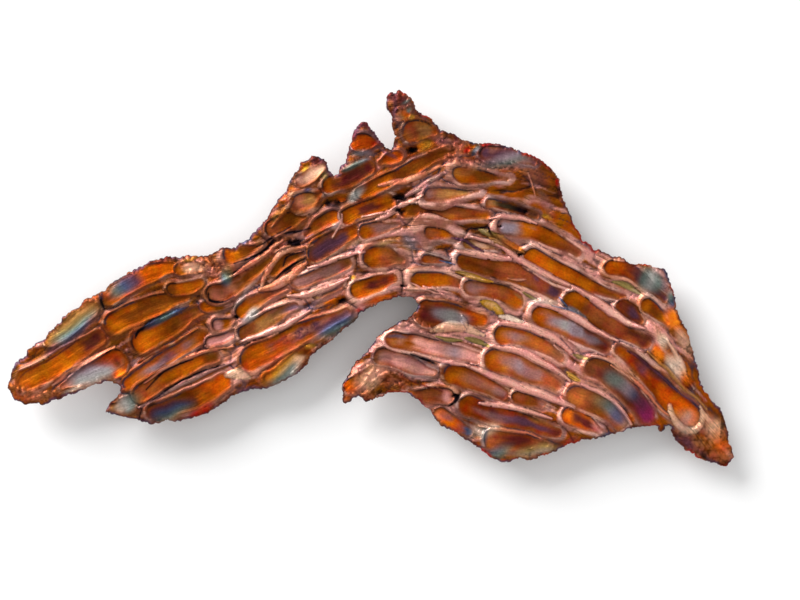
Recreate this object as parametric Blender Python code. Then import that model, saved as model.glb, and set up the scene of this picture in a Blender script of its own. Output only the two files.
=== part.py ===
# A sheet of native copper, grown and flattened as one piece: a ragged plate with two arms, three short
# spires, and a face of long oval lobes that lie over one another like scales, each with a raised rim.
# It lies face up. Lengths and places are in millimetres, seen from above with the long way along X.
import functools
import math

import bpy
import numpy as np
from mathutils.geometry import delaunay_2d_cdt

MM = 0.001

# How high the sheet lies, how thick it is, and how deep its relief goes
MID_HEIGHT = 11.0
EDGE_THICKNESS = 2.0
BODY_THICKNESS = 5.6
THICKENING_REACH = 6.5
GROUND_DEPTH = 0.6
GROUND_LEVEL = -0.7
FLOOR_LEVEL = -0.45
FLOOR_DISH = 0.45
RIM_HEIGHT = 1.0
HEAD_LIFT = 0.8
SEAM_LEVEL = -0.9
SEAM_WIDTH = 0.7
LIP_REACH = 2.2
LIP_DROP = 0.7
WALL_BULGE = 0.35

# How finely the mesh follows the shape
OUTLINE_STEP = 2.3
RAGGEDNESS = 0.28
LOOP_STEP = 2.3
LEAST_GAP = 1.25
FILL_STEP = 3.4
UNDER_STEP = 4.8
SEED = 7

# The sheet's edge from the left arm's tip, over the spires, round the tail and back under the arms
OUTLINE = [
    # the left arm's upper edge
    (-120.5, -35), (-119, -32.5), (-119.1, -30.5), (-117.8, -28), (-116, -26.4), (-114, -25.3),
    (-113.9, -23.4), (-112, -22.4), (-110, -21), (-107.8, -19.8), (-107.2, -18.1), (-105.4, -16.7),
    (-104, -15.1), (-102.7, -14.2), (-102.2, -12.7), (-100.8, -11.5), (-98.6, -10.2), (-96.5, -8.9),
    (-95.3, -7.3), (-93.4, -6.3), (-90.8, -4.8), (-88, -3.6), (-86.3, -1.3), (-83.6, 0.2),
    (-81.4, 1.5), (-78.5, 3.3), (-75.6, 4.6), (-73.1, 6.2), (-70.3, 6.6), (-67.2, 7.5),
    (-63.8, 7.3), (-60.6, 8), (-57.5, 7.5), (-55, 7.7), (-52.4, 8.6), (-49.9, 10),
    (-46.9, 10.6), (-44.7, 10.5), (-43.5, 12.2), (-42, 12.6), (-39.9, 13.7), (-39.2, 15.2),
    (-37.9, 15.8), (-37.1, 17.3), (-35.7, 18.7), (-34.2, 19.8), (-33.4, 21.4), (-32.9, 23.3),
    (-31.4, 24.5), (-30.6, 26.3), (-29, 28.2), (-27.5, 30.1), (-27.3, 31.7),
    # the blunt spire
    (-26.1, 33.1), (-24.9, 35.1), (-23.4, 37), (-22.9, 38.9), (-21.2, 39.6), (-19.6, 40.7),
    (-18.4, 41.3), (-16, 40.4), (-15, 39.3), (-14.3, 38), (-14, 36.2), (-12.9, 34.7),
    (-11.6, 34.3), (-10.1, 35.3), (-9.8, 37.7),
    # the pointed spire
    (-8.4, 38.7), (-7.4, 40.1), (-7, 42.3), (-6.3, 45.5), (-5.7, 47.6), (-4.9, 49.6),
    (-3.8, 51.6), (-2.1, 52.6), (-1, 52.2), (-0.4, 50.9), (0.5, 49.5), (1.8, 47.8),
    (3.2, 46), (4.6, 44.4), (6, 43.3), (7.4, 43.1), (8.3, 44.1),
    # the tower
    (8, 45.6), (9.2, 48.1), (7.9, 49.8), (7.4, 51.6), (7.8, 53.5), (7.2, 55.5),
    (6.1, 57), (5.8, 58.6), (6.3, 60), (6.2, 61.4), (7.3, 62.3), (8.4, 61.9),
    (9.6, 62.9), (10.4, 62.1), (11.7, 62), (13, 60.6), (14.1, 59.7), (14.7, 58.3),
    (14.9, 56.9), (15.8, 55.7), (17.2, 54.8), (18.6, 54.3), (19.8, 53.7), (21.1, 52.2),
    (22.5, 50.8), (23.5, 49.4), (25, 49.7), (25.9, 48.5), (27.1, 48.7), (28.1, 47.8),
    # the right shoulder
    (29.8, 47.2), (31.3, 46), (32.8, 46), (34.1, 45.2), (36.3, 45.1), (39, 45.4),
    (41.5, 45.1), (44, 44.4), (46.5, 43.7), (49, 42.8), (51.5, 42), (53.6, 41.4),
    (55, 40.9), (57.4, 39.1), (59.1, 38), (60.6, 36.6), (61.8, 35), (62.8, 33.3),
    (63.3, 31), (63.5, 29), (64.2, 27), (65, 25), (65.7, 23), (66.8, 21),
    (67.4, 19.1), (68.4, 17.2), (69.5, 15.9), (70.1, 13.9), (70.8, 12.7), (72.2, 12.6),
    (73.5, 11.4), (74.4, 9.6), (76, 9.8), (77.6, 9), (79.6, 8.2), (81.1, 7.5),
    (83.3, 7.6), (84.4, 6.8), (85.4, 6), (86.8, 5.2), (88.9, 5.1), (91.6, 4.8),
    (94.5, 4), (97.3, 3.5), (98.7, 2.5), (99.3, 0.8),
    # the tail's outer side
    (100, -1.8), (101.1, -4.2), (101.4, -7), (101.8, -9.6), (102.3, -11.6), (103.2, -13.6),
    (104.2, -15.4), (105.3, -17.4), (106.1, -19.3), (106.5, -21.6), (107.3, -24), (107.8, -26),
    (108.7, -28.1), (109.3, -30.3), (109.5, -32.3), (110.1, -34.3), (111, -36.7), (112.9, -38.9),
    (114.3, -40.7), (116, -42.3), (117.5, -44.3), (118.4, -46.6), (119, -48.6), (119.6, -50.6),
    (119.3, -53), (119.9, -55), (120.8, -57), (121.2, -59.3), (120.5, -60.7), (118.8, -62.2),
    # the tail's inner side
    (117.3, -61.7), (115.6, -61.1), (113.2, -60.7), (111.4, -60), (109.9, -59.2), (108.8, -57.9),
    (107.3, -57.3), (105.9, -57), (104.9, -55.8), (103.3, -54.5), (101.8, -52.6), (100.8, -50.7),
    (101, -49.2), (100, -48.4), (98.3, -48.3), (97.9, -49.7), (97, -50.3), (96.2, -49.7),
    (96.3, -48.4), (94.7, -48.3), (92.7, -48.6), (90.4, -48.6), (88.1, -49.1), (86.3, -49.3),
    (84.3, -50.3), (82, -50.9), (79.1, -51.7), (77.2, -52), (75.8, -52.7), (74.3, -52.5),
    (72.6, -53.1), (70.8, -52.8), (69.4, -53.6), (68, -54.4), (66.4, -54.3), (65, -55.3),
    (63.3, -56.1), (61, -57.2), (58.5, -58), (56, -58.8), (54.4, -59.5), (52.7, -60),
    (51.1, -59.5), (49.8, -59.2), (48, -59.8), (46.1, -60.6), (44, -60.3), (42.4, -59.7),
    # the right lobe's lower left edge and its point
    (40.3, -59), (38.6, -57.1), (37.2, -56), (35.7, -55.4), (34.3, -54.3), (32.3, -53.2),
    (30.1, -51.4), (28.1, -50), (26.4, -49.2), (24.9, -48.8), (23.3, -47.9), (21.9, -46.5),
    (21, -45), (20.1, -43.2), (18.5, -42), (17, -40.7), (15.5, -39.3), (13.6, -38.2),
    (12.2, -37.3), (10, -37.1), (7.2, -37.2), (5.5, -37.6), (4, -38.4), (2.4, -38.7),
    (0.8, -39.3), (-0.2, -40), (-1.3, -40.5), (-2.3, -39.8), (-2.7, -38.7), (-4.3, -38.4),
    (-5.6, -39), (-6.8, -40.3), (-8.1, -40.8), (-9, -39.8), (-8.7, -38.2), (-9, -36.5),
    (-8.8, -34.6), (-8, -33.2), (-7.2, -31.7), (-6.2, -29.9), (-4.9, -28.2), (-3, -26.3),
    (-1.3, -24.5), (0, -22.8), (1.3, -21), (2.4, -19.4), (3.9, -18.3), (5.4, -17),
    (7, -16.3), (8.5, -15.2), (10.1, -14), (12, -13.6), (13.4, -12.6), (14.7, -11.2),
    (15.9, -9.9), (16.3, -8.1),
    # the arch between the arms
    (15.1, -5.9), (12.8, -5.3), (10, -5.1), (8.1, -5.3), (6.9, -6.3), (5.7, -6.5),
    (4.6, -6.3), (3, -7.2), (1.2, -8), (-0.6, -9), (-2, -10.2), (-3.3, -10.4),
    # the left arm's lower edge
    (-4, -11.6), (-4.9, -13.3), (-6.1, -14.4), (-8.1, -15.6), (-10.2, -17.2), (-13.2, -20.1),
    (-16.7, -22.7), (-20.2, -25.3), (-21.5, -28.4), (-24.5, -31), (-27.6, -32.8), (-30.5, -34.4),
    (-33.7, -35.7), (-37.6, -36), (-40.2, -36.4), (-42.5, -37), (-46, -38.2), (-48.3, -40.4),
    (-51.9, -42.6), (-54.4, -44.2), (-56.9, -45.2), (-60.2, -45.7), (-64.4, -46.7), (-68, -46.4),
    (-70.4, -47.3), (-73, -47.6), (-75.6, -47), (-77.5, -45.8), (-80.5, -45.7), (-84, -44.8),
    (-87.7, -43.7), (-86.5, -41.5), (-85, -40.1), (-83.3, -38.6), (-82.6, -37), (-82.8, -35.3),
    (-83.8, -34.4), (-85.4, -33.6), (-87.1, -33.3), (-89.1, -33.8), (-91.5, -34.5), (-94, -35.5),
    (-96, -36.4), (-97.2, -37.3), (-98.7, -37.9), (-100.3, -38), (-102, -38.6), (-104, -39.5),
    (-106, -39.9), (-107.5, -40.8), (-108.8, -41), (-110.3, -40.7), (-112.5, -40.8), (-114.5, -41.2),
    (-116.2, -40.2), (-118, -39.8), (-119, -38), (-120, -36.3),
]

# The lobes, from those that lie lowest to those on top. Each has the line of its floor from its round
# head to its tail, the floor's half width at either end, and the width of the rim round it.
LOBES = [
    # the left arm
    (((-108, -21.5), (-99, -14.5), (-90.5, -8)), 2.2, 3.6, 0.7),
    (((-81.2, -25.5), (-90, -30.5), (-103, -36.3)), 4.0, 2.2, 0.9),
    (((-117, -34.5), (-107, -30), (-97, -23.5), (-88, -18)), 3.4, 3.4, 1.7),
    (((-88.5, -6.5), (-80, -1.5), (-70, 3), (-62, 4.5)), 3.3, 2.2, 1.1),
    (((-82, -35.5), (-74, -30), (-63, -22.5), (-54, -18)), 1.8, 2.3, 0.8),
    (((-86.5, -43.5), (-80, -42), (-77, -40)), 1.6, 3.4, 0.6),
    (((-73.5, -45), (-64, -42), (-53, -37), (-46.5, -33)), 2.0, 3.1, 1.0),
    (((-87, -16), (-78, -11.5), (-68, -7.5), (-60, -5.5)), 2.7, 2.4, 1.9),
    (((-78.7, -22), (-70, -17.5), (-61, -12.5), (-54, -10)), 2.6, 2.0, 1.5),
    (((-78, -39), (-68, -33), (-58, -27.5), (-49.5, -24.5)), 2.2, 2.3, 1.1),
    (((-68, -3.5), (-61, -3), (-55.5, -0.5)), 2.2, 2.7, 1.0),
    (((-63, 3.2), (-57, 4.5)), 2.4, 2.0, 1.1),
    (((-56, -9.5), (-51, -8.5), (-46, -7.5)), 1.8, 1.3, 0.9),
    (((-52.5, -15.5), (-48.5, -14.5), (-45, -12.5)), 2.2, 1.4, 1.5),
    (((-54.5, -21), (-47, -18.5), (-42, -14.5)), 1.4, 1.2, 1.0),
    (((-54, -5.8), (-46, -2), (-38, 3.5), (-31, 9)), 2.5, 1.9, 0.8),
    (((-35, -33.5), (-28, -30), (-19.5, -23.5)), 1.8, 2.2, 1.1),
    (((-44.5, -11), (-36, -6.5), (-27, -3)), 2.0, 1.5, 1.1),
    (((-48.3, 8), (-42, 9.5), (-36, 12.5)), 2.6, 1.4, 1.9),
    (((-43.5, -18.5), (-34, -13.5), (-24, -8.5)), 2.5, 1.9, 1.0),
    (((-42.5, -28), (-31, -22.5), (-17, -15), (-6, -10)), 3.2, 2.4, 1.0),
    # the middle, up to the spires
    (((-34.5, 16), (-27, 19.5), (-21, 22.5)), 2.4, 2.4, 1.0),
    (((-26, -1.5), (-16, 2.5), (-6, 7)), 1.6, 2.2, 1.2),
    (((-33, 3), (-27, 7.5), (-20, 10.5)), 1.5, 1.2, 1.7),
    (((-20.5, 8.5), (-13, 12.5), (-4, 16.5)), 2.7, 2.6, 0.8),
    (((-9.8, 22), (-15, 20), (-22, 15)), 1.9, 1.0, 1.4),
    (((-25.5, 25.5), (-20, 27), (-16, 29)), 3.0, 1.8, 1.3),
    (((-19.5, -5.5), (-13, -2.5), (-8.5, -1)), 1.4, 1.6, 0.9),
    (((-24.5, 33), (-20, 35.5), (-15.5, 38)), 1.6, 1.8, 0.9),
    (((-15.5, 30.5), (-8, 33), (1, 37.8)), 2.3, 2.6, 0.9),
    (((-9.5, 20), (-1, 23.5), (8, 27)), 2.2, 2.8, 0.9),
    (((-4, 28.5), (9, 34.5), (20, 39.5), (29, 43.5)), 1.4, 1.7, 0.9),
    (((-5.8, 44.5), (-1, 46.5), (2, 47)), 2.8, 1.8, 0.9),
    (((10.5, 41.5), (6.5, 40.5), (2.5, 38.5)), 1.9, 1.6, 0.8),
    (((-3.5, 15.2), (3, 17), (10, 18.3)), 1.9, 1.5, 0.8),
    (((-2.4, 7.6), (4.5, 7.4), (11.6, 6.4)), 3.3, 2.2, 1.3),
    (((-5.8, -4.2), (1, -2), (9.3, 0.8)), 3.0, 2.2, 1.4),
    (((10, 46.5), (16, 49.5), (22.5, 49)), 2.8, 2.4, 1.0),
    (((8, 55), (11.5, 55.5), (14, 58)), 1.8, 1.6, 0.7),
    # the right lobe's left half
    (((-8, -36.5), (-4, -33), (0.5, -28.5)), 2.2, 2.0, 0.9),
    (((3, -32), (8, -33.5), (14, -34)), 1.9, 1.4, 0.8),
    (((1, -24.8), (9, -26.5), (22, -31)), 2.2, 1.7, 0.9),
    (((5, -19), (14, -20.8), (26, -23.5), (37, -26.3)), 2.0, 2.3, 1.0),
    (((18.5, -9.5), (28, -11.5), (38.5, -14.5)), 2.8, 2.8, 1.0),
    (((28, -39.5), (21, -38), (13, -36.5)), 2.8, 1.6, 0.9),
    (((21.5, -44), (27, -47.5), (34, -51.5)), 2.2, 2.4, 0.7),
    (((24.5, -30.5), (34, -33), (46, -38.5)), 2.8, 2.6, 1.6),
    (((29.5, -40.5), (41, -44.5), (53, -48), (64, -51)), 2.7, 2.2, 1.1),
    (((38, -53), (48, -53.5), (60, -55)), 2.7, 1.6, 0.9),
    # the face right of the spires
    (((10, 22.8), (24, 23), (40, 21)), 1.7, 1.8, 1.1),
    (((17.5, 28.3), (25, 28.3), (36, 29.5)), 2.1, 0.8, 2.4),
    (((28, 34.7), (36, 34.5), (46, 33)), 2.7, 1.4, 2.2),
    (((37, 42.5), (46, 41.8), (55, 38.8)), 2.2, 2.0, 0.8),
    (((44, 26), (53, 29), (60, 31)), 2.0, 2.6, 0.7),
    (((38.5, 25.3), (47, 24), (56, 21.5)), 0.8, 1.2, 1.3),
    (((18.5, 15.7), (24, 16), (29, 14.5)), 1.9, 1.0, 3.2),
    (((31, 12.7), (37, 11.8), (43, 10.3)), 1.5, 0.8, 1.6),
    (((17, 7.5), (22, 7), (28, 5.8)), 1.4, 0.8, 0.9),
    (((13.5, 0.3), (22, 0), (31, -1.5)), 2.6, 2.2, 1.6),
    (((29, 7), (41, 4.5), (53, 1), (64, -5)), 2.6, 2.5, 1.2),
    (((31, -2), (40, -3.5), (51.5, -7.5)), 2.0, 2.8, 1.0),
    (((42.5, 17.7), (52, 17), (61, 13.5), (70, 8.5)), 2.3, 1.8, 2.4),
    (((41.5, -18), (50, -19), (58, -22.5), (64, -26.5)), 2.5, 2.0, 1.9),
    (((47.5, -38), (52, -39.5), (58, -41.5)), 1.7, 1.5, 0.9),
    (((38, -26), (46, -27.5), (55, -31.5), (63, -35.5)), 3.3, 2.6, 1.9),
    (((51.5, 9), (60, 4), (70, -1), (85, -6.5)), 3.1, 1.8, 1.4),
    (((54.5, -10.5), (62, -13.5), (71, -18), (79.5, -23.5)), 2.7, 3.1, 2.2),
    (((82, -8), (86.5, -10), (91, -14)), 2.2, 1.9, 0.9),
    (((65.2, -5.3), (74, -11), (84, -17), (93, -22)), 2.5, 3.2, 1.3),
    (((64, -43.5), (70, -46.5), (77, -50.5)), 2.6, 1.8, 0.9),
    (((65.5, -36.8), (73, -40), (80, -44.5), (85, -49)), 3.0, 3.2, 1.6),
    (((71.5, -28), (79, -31.5), (87, -39), (94, -47.5)), 2.6, 3.8, 1.2),
    (((78, 5.5), (84, 3.5), (92, -1), (99, -7)), 2.0, 1.8, 1.5),
    (((89.5, 3), (95, 1), (99.5, -4)), 1.4, 2.0, 0.6),
    (((90, -7.5), (94, -9.5), (99, -14.5)), 2.3, 1.4, 1.4),
    (((109, -48.5), (101, -40), (92, -31), (81, -23)), 3.3, 2.7, 2.6),
    (((118, -59.5), (116, -54), (112, -47)), 2.0, 2.4, 0.9),
]

# Strands of copper that run between the lobes: the line of each, its half width and its height
STRANDS = [
    (((-85, -22.3), (-93, -26.5), (-99, -30.5), (-105, -35)), 0.9, 0.7),
    (((-77, -27), (-68, -21.8), (-57, -16.5)), 0.6, 0.9),
    (((-76, -42.5), (-66, -37), (-55, -31.5), (-45, -27)), 0.9, 1.0),
    (((-75, -34.5), (-66, -28.5), (-56, -23.5), (-45, -21.5)), 1.0, 0.8),
    (((-48, -32.5), (-43.5, -31.5), (-40, -32.5)), 1.8, 0.5),
    (((-42.5, -20.2), (-34, -17.2), (-27, -14.6), (-20, -10)), 1.1, 1.2),
    (((-45, 2.5), (-38, 6.8), (-29.5, 12)), 1.2, 0.9),
    (((-31, 9.3), (-22, 13.8), (-10.5, 19.5)), 0.5, 1.0),
    (((-27, -5.8), (-17, -3.2), (-7, 1)), 1.2, 1.1),
    (((-20, 4.5), (-10, 7.8), (-2, 9.5)), 0.9, 0.9),
    (((-32.5, 17.5), (-28.5, 22.5), (-25.5, 27.5)), 0.9, 0.7),
    (((2, 19.6), (10, 24.6), (17, 28.5)), 1.1, 1.1),
    (((3, 31.5), (12, 33.2), (26, 37.5)), 1.0, 1.1),
    (((9, 26.5), (17, 31.5), (26, 35)), 0.9, 0.9),
    (((40, 20), (49, 21.2), (55, 19.2)), 0.8, 0.9),
    (((34, 14.7), (43, 12), (51, 6), (60, 1.5), (67, -2)), 1.2, 1.1),
    (((29, 10), (38, 8.6), (47, 7.2)), 1.3, 0.8),
    (((67, -2), (75, -7), (84, -13), (91, -15.6)), 1.3, 1.2),
    (((56, -6.8), (64, -10), (72, -15.5), (82, -20.5)), 1.3, 1.2),
    (((43, -14.2), (53, -15.5), (62, -20), (68, -25.5)), 1.5, 1.0),
    (((41, -21.5), (50, -24), (58, -28), (66, -33)), 1.3, 1.1),
    (((32, -28.5), (44, -33), (55, -37), (68, -42)), 1.4, 1.1),
    (((14, -23.8), (24, -26.7), (33, -28.5)), 0.8, 0.8),
    (((36, -40.5), (47, -41.8), (60, -45.5)), 1.0, 0.7),
    (((36, -48.7), (47, -50.3), (57, -52.5)), 0.7, 0.7),
    (((70, -34), (77, -38), (83, -43), (87, -48)), 0.9, 0.9),
    (((80, -29), (88, -34), (95, -40), (101, -46)), 0.9, 1.0),
    (((93, -12), (99, -21), (106, -31), (112, -42)), 1.6, 1.1),
    (((92, -24), (100, -30.5), (106, -37), (112, -43)), 0.9, 0.9),
    (((53.5, 34), (54.2, 30), (58, 25), (63, 19)), 1.0, 0.6),
]

# Holes that go down between the lobes: place, radius and depth
PITS = [
    ((9.2, 27.2), 1.5, 1.7), ((9.6, 22.9), 1.4, 1.7), ((43.6, 17.6), 0.9, 1.0),
    ((13.5, 43), 1.3, 1.4), ((-44.8, -12.2), 0.9, 1.2), ((-12.5, 26), 2.0, 1.2),
    ((-25, 12.6), 1.6, 1.3), ((-8.5, -6.5), 1.1, 1.2), ((11.2, -2), 0.8, 1.2),
    ((50, 8.6), 0.9, 1.1), ((48.5, 23.3), 1.4, 1.2), ((28.3, -38.8), 0.9, 1.2),
]

# Broad swells of the whole sheet: place, reach and height
SWELLS = [
    ((-100, -28), 34, 1.8), ((-48, -6), 30, -1.0), ((-2, 26), 30, 0.6), ((42, 20), 28, 1.4),
    ((60, -26), 32, -0.4), ((98, -20), 12, 2.2), ((119, -58), 16, -2.6), ((-8, -36), 18, 1.4),
    ((10, 60), 14, 1.4), ((-86, -44), 12, 1.2),
]

# Lumps under the sheet: place, reach and depth. The first three are the ones that it lies on.
FEET = [((-47, -13), 10.5, 8.0), ((54, -27), 11.0, 8.0), ((14, 27), 10.5, 8.0)]
LUMPS = [
    ((-82, -24), 12, 2.4), ((-104, -30), 9, 1.2), ((-20, 4), 12, 2.4), ((-66, -36), 9, 1.4),
    ((46, 14), 12, 2.2), ((84, -14), 12, 2.6), ((26, -32), 12, 2.0), ((104, -42), 9, 1.6),
    ((60, -48), 8, 1.4), ((14, 50), 6, 1.2), ((-22, -20), 8, 1.4),
]
FOOT_RINGS = (2.6, 5.2, 6.9, 9.2, 12.0)


def smoothstep(low, high, value):
    """0 below low, 1 above high, and a smooth rise between them."""
    share = np.clip((value - low) / (high - low), 0, 1)
    return share * share * (3 - 2 * share)


@functools.cache
def smooth_line(points, steps=6):
    """A curve through the points (Catmull and Rom's), with this many steps between each two."""
    knots = np.array([points[0], *points, points[-1]], float)
    share = np.linspace(0, 1, steps, endpoint=False)[:, None]
    spans = []
    for a, b, c, d in zip(knots, knots[1:], knots[2:], knots[3:]):
        linear = (c - a) * share
        square = (2 * a - 5 * b + 4 * c - d) * share**2
        cube = (3 * b - a - 3 * c + d) * share**3
        spans.append(0.5 * (2 * b + linear + square + cube))
    return np.vstack([*spans, knots[-1:]])


def shortened(line, first, last):
    """The line without its first and last lengths, where the round ends' centres are."""
    steps = np.linalg.norm(np.diff(line, axis=0), axis=1)
    along = np.concatenate([[0], np.cumsum(steps)])
    places = np.linspace(first, along[-1] - last, len(line))
    return np.column_stack([np.interp(places, along, line[:, axis]) for axis in (0, 1)])


def nearest_on(line, x, y):
    """How far each point is from the line, and the share of the line at which its nearest place lies."""
    best = np.full(len(x), np.inf)
    share = np.zeros(len(x))
    spans = len(line) - 1
    for i, (a, b) in enumerate(zip(line, line[1:])):
        run = b - a
        t = np.clip(((x - a[0]) * run[0] + (y - a[1]) * run[1]) / (run @ run + 1e-12), 0, 1)
        far = np.hypot(x - a[0] - t * run[0], y - a[1] - t * run[1])
        closer = far < best
        best[closer] = far[closer]
        share[closer] = (i + t[closer]) / spans
    return best, share


def near(line, x, y, reach):
    """Which points are inside the line's box, widened by reach."""
    low, high = line.min(0) - reach, line.max(0) + reach
    return np.flatnonzero((x > low[0]) & (x < high[0]) & (y > low[1]) & (y < high[1]))


@functools.cache
def lobe_line(lobe):
    """The line along the middle of a lobe's floor, between the centres of its round ends."""
    points, head, tail, _ = lobe
    return shortened(smooth_line(points), head, tail)[::2]


def lobe_field(lobe, x, y):
    """Distance outside the lobe's floor, share along it, floor's half width there and rim's width there."""
    _, head, tail, rim = lobe
    far, share = nearest_on(lobe_line(lobe), x, y)
    half = head + (tail - head) * smoothstep(0, 1, share)
    return far - half, share, half, rim * (1 - 0.35 * share)


def lobe_height(outside, share, half, rim):
    """A lobe's own relief: a dished floor, a round rim and the drop outside it, highest at its head."""
    inward = np.clip(-outside / half, 0, 1)
    floor = FLOOR_LEVEL + FLOOR_DISH * (1 - inward) ** 2
    across = np.clip(outside / rim, 0, 1)
    crest = RIM_HEIGHT * (0.55 + 0.25 * np.minimum(rim, 2)) * (1 - 0.4 * share)
    round_rim = crest * np.sin(math.pi * across**0.8) ** 0.8 - 0.5 * across**3
    return np.where(outside < 0, floor, round_rim) + HEAD_LIFT * (1 - share) ** 1.5


def covering_lobe(x, y):
    """The number of the topmost lobe over each point, or -1."""
    owner = np.full(len(x), -1)
    for i, lobe in enumerate(LOBES):
        some = near(np.array(lobe[0], float), x, y, lobe[1] + lobe[2] + lobe[3])
        outside, _, _, rim = lobe_field(lobe, x[some], y[some])
        owner[some[outside < rim]] = i
    return owner


def relief(x, y):
    """The face's relief over each point, before the sheet's own height is added."""
    z = np.full(len(x), GROUND_LEVEL)
    for lobe in LOBES:
        some = near(np.array(lobe[0], float), x, y, lobe[1] + lobe[2] + lobe[3] + SEAM_WIDTH)
        outside, share, half, rim = lobe_field(lobe, x[some], y[some])
        keep = smoothstep(0, SEAM_WIDTH, outside - rim)
        under = z[some] * keep + SEAM_LEVEL * (1 - keep)
        z[some] = np.where(outside < rim, lobe_height(outside, share, half, rim), under)
    for points, width, height in STRANDS:
        line = smooth_line(points)
        some = near(line, x, y, width)
        far, share = nearest_on(line, x[some], y[some])
        taper = width * (0.45 + 0.55 * np.sin(math.pi * np.clip(share, 0.03, 0.97)))
        strand = height * np.sqrt(np.clip(1 - (far / taper) ** 2, 0, 1)) - 0.2
        z[some] = np.where(far < taper, np.maximum(z[some], strand), z[some])
    for (px, py), radius, depth in PITS:
        z -= depth * np.exp(-(((x - px) ** 2 + (y - py) ** 2) / radius**2))
    return z


def swell(x, y):
    """The height of the sheet's own gentle waves."""
    z = np.full(len(x), MID_HEIGHT)
    for (px, py), reach, height in SWELLS:
        z += height * np.exp(-(((x - px) ** 2 + (y - py) ** 2) / reach**2))
    return z


def depth_inside(outline, x, y):
    """How far each point lies in from the sheet's edge."""
    return nearest_on(np.vstack([outline, outline[:1]]), x, y)[0]


def top_height(x, y, depth):
    """The face: relief that calms down towards a lip that turns down a little."""
    calm = 0.3 + 0.7 * smoothstep(0, LIP_REACH, depth)
    drop = LIP_DROP * (1 - smoothstep(0, LIP_REACH, depth))
    return swell(x, y) + relief(x, y) * calm - drop


def under_height(x, y, depth):
    """The underside: lumps below an even thickness, flat where they would pass the ground."""
    growth = 1 - np.exp(-depth / THICKENING_REACH)
    thickness = EDGE_THICKNESS + (BODY_THICKNESS - EDGE_THICKNESS) * growth
    z = swell(x, y) - GROUND_DEPTH - thickness
    inside = smoothstep(0, 6, depth)
    z += inside * 0.45 * np.sin(0.42 * x + 0.9 * y + 1.3 * np.sin(0.13 * x)) * np.cos(0.21 * x - 0.2 * y)
    for (px, py), reach, deep in FEET + LUMPS:
        z -= inside * deep * np.exp(-(((x - px) ** 2 + (y - py) ** 2) / reach**2))
    return np.maximum(z, 0)


def ragged_outline(random):
    """The edge in short steps, each moved a little in or out."""
    corners = np.array(OUTLINE, float)
    points = []
    for a, b in zip(corners, np.roll(corners, -1, axis=0)):
        steps = max(1, round(np.linalg.norm(b - a) / OUTLINE_STEP))
        points += [a + (b - a) * i / steps for i in range(steps)]
    points = np.array(points)
    along = np.roll(points, -1, axis=0) - np.roll(points, 1, axis=0)
    out = np.column_stack([-along[:, 1], along[:, 0]])
    out /= np.linalg.norm(out, axis=1)[:, None]
    return points + out * random.uniform(-RAGGEDNESS, RAGGEDNESS, (len(points), 1))


def inside_outline(outline, x, y):
    """Which points the edge goes round."""
    inside = np.zeros(len(x), bool)
    for a, b in zip(outline, np.roll(outline, -1, axis=0)):
        crosses = (a[1] > y) != (b[1] > y)
        where = a[0] + (y - a[1]) * (b[0] - a[0]) / (b[1] - a[1] + 1e-12)
        inside ^= crosses & (x < where)
    return inside


def loop_round(lobe, offset):
    """Points in even steps round a lobe's floor, this far outside its edge."""
    _, head, tail, _ = lobe
    line = lobe_line(lobe)
    share = np.linspace(0, 1, len(line))
    half = head + (tail - head) * smoothstep(0, 1, share) + offset * (1 - 0.35 * share)
    along = np.gradient(line, axis=0)
    along /= np.linalg.norm(along, axis=1)[:, None]
    aside = np.column_stack([-along[:, 1], along[:, 0]])
    turn = np.linspace(math.pi / 2, 3 * math.pi / 2, 9)[1:-1, None]
    first = line[0] + half[0] * (np.cos(turn) * along[0] + np.sin(turn) * aside[0])
    last = line[-1] - half[-1] * (np.cos(turn) * along[-1] + np.sin(turn) * aside[-1])
    left, right = line + aside * half[:, None], line - aside * half[:, None]
    loop = np.vstack([left[::-1], first, right, last, left[-1:]])
    steps = np.concatenate([[0], np.cumsum(np.linalg.norm(np.diff(loop, axis=0), axis=1))])
    places = np.linspace(0, steps[-1], max(6, round(steps[-1] / LOOP_STEP)), endpoint=False)
    return np.column_stack([np.interp(places, steps, loop[:, axis]) for axis in (0, 1)])


def hexagonal(step, outline):
    """A field of evenly spaced points over the sheet."""
    low, high = outline.min(0), outline.max(0)
    rows = []
    for i, y in enumerate(np.arange(low[1], high[1], step * 0.866)):
        x = np.arange(low[0] + (i % 2) * step / 2, high[0], step)
        rows.append(np.column_stack([x, np.full(len(x), y)]))
    return np.vstack(rows)


def spread_out(groups, outline):
    """The points of each group in turn that keep their least gap to those before and to the edge."""
    kept = np.empty((0, 2))
    for points, gap, margin in groups:
        x, y = points.T
        points = points[inside_outline(outline, x, y)]
        points = points[depth_inside(outline, *points.T) > margin]
        for point in points:
            if not len(kept) or np.min(np.hypot(*(kept - point).T)) > gap:
                kept = np.vstack([kept, point])
    return kept


def uncovered(lines):
    """The points of the lobes' lines, one line a lobe, over which no later lobe lies."""
    points = np.vstack(lines)
    numbers = np.repeat(np.arange(len(lines)), [len(line) for line in lines])
    return points[covering_lobe(*points.T) <= numbers]


def face_points(outline):
    """Where the face's mesh has points: on rims, in seams and round floors that show, then in between."""
    crests = [loop_round(lobe, lobe[3] * 0.45) for lobe in LOBES]
    seams = [loop_round(lobe, lobe[3] + 0.15) for lobe in LOBES]
    floors = [loop_round(lobe, -0.3) for lobe in LOBES]
    middles = [lobe_line(lobe) for lobe in LOBES]
    strands = [smooth_line(points, 4) for points, _, _ in STRANDS]
    pits = [np.array([place]) for place, _, _ in PITS]
    groups = [
        (np.vstack(pits + strands), LEAST_GAP, 1.0),
        (uncovered(crests), LEAST_GAP, 0.9),
        (uncovered(seams), LEAST_GAP * 0.85, 0.9),
        (uncovered(floors), LEAST_GAP * 0.85, 0.9),
        (uncovered(middles), LEAST_GAP, 1.0),
        (hexagonal(FILL_STEP, outline), FILL_STEP * 0.66, 1.2),
    ]
    return spread_out(groups, outline)


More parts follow.
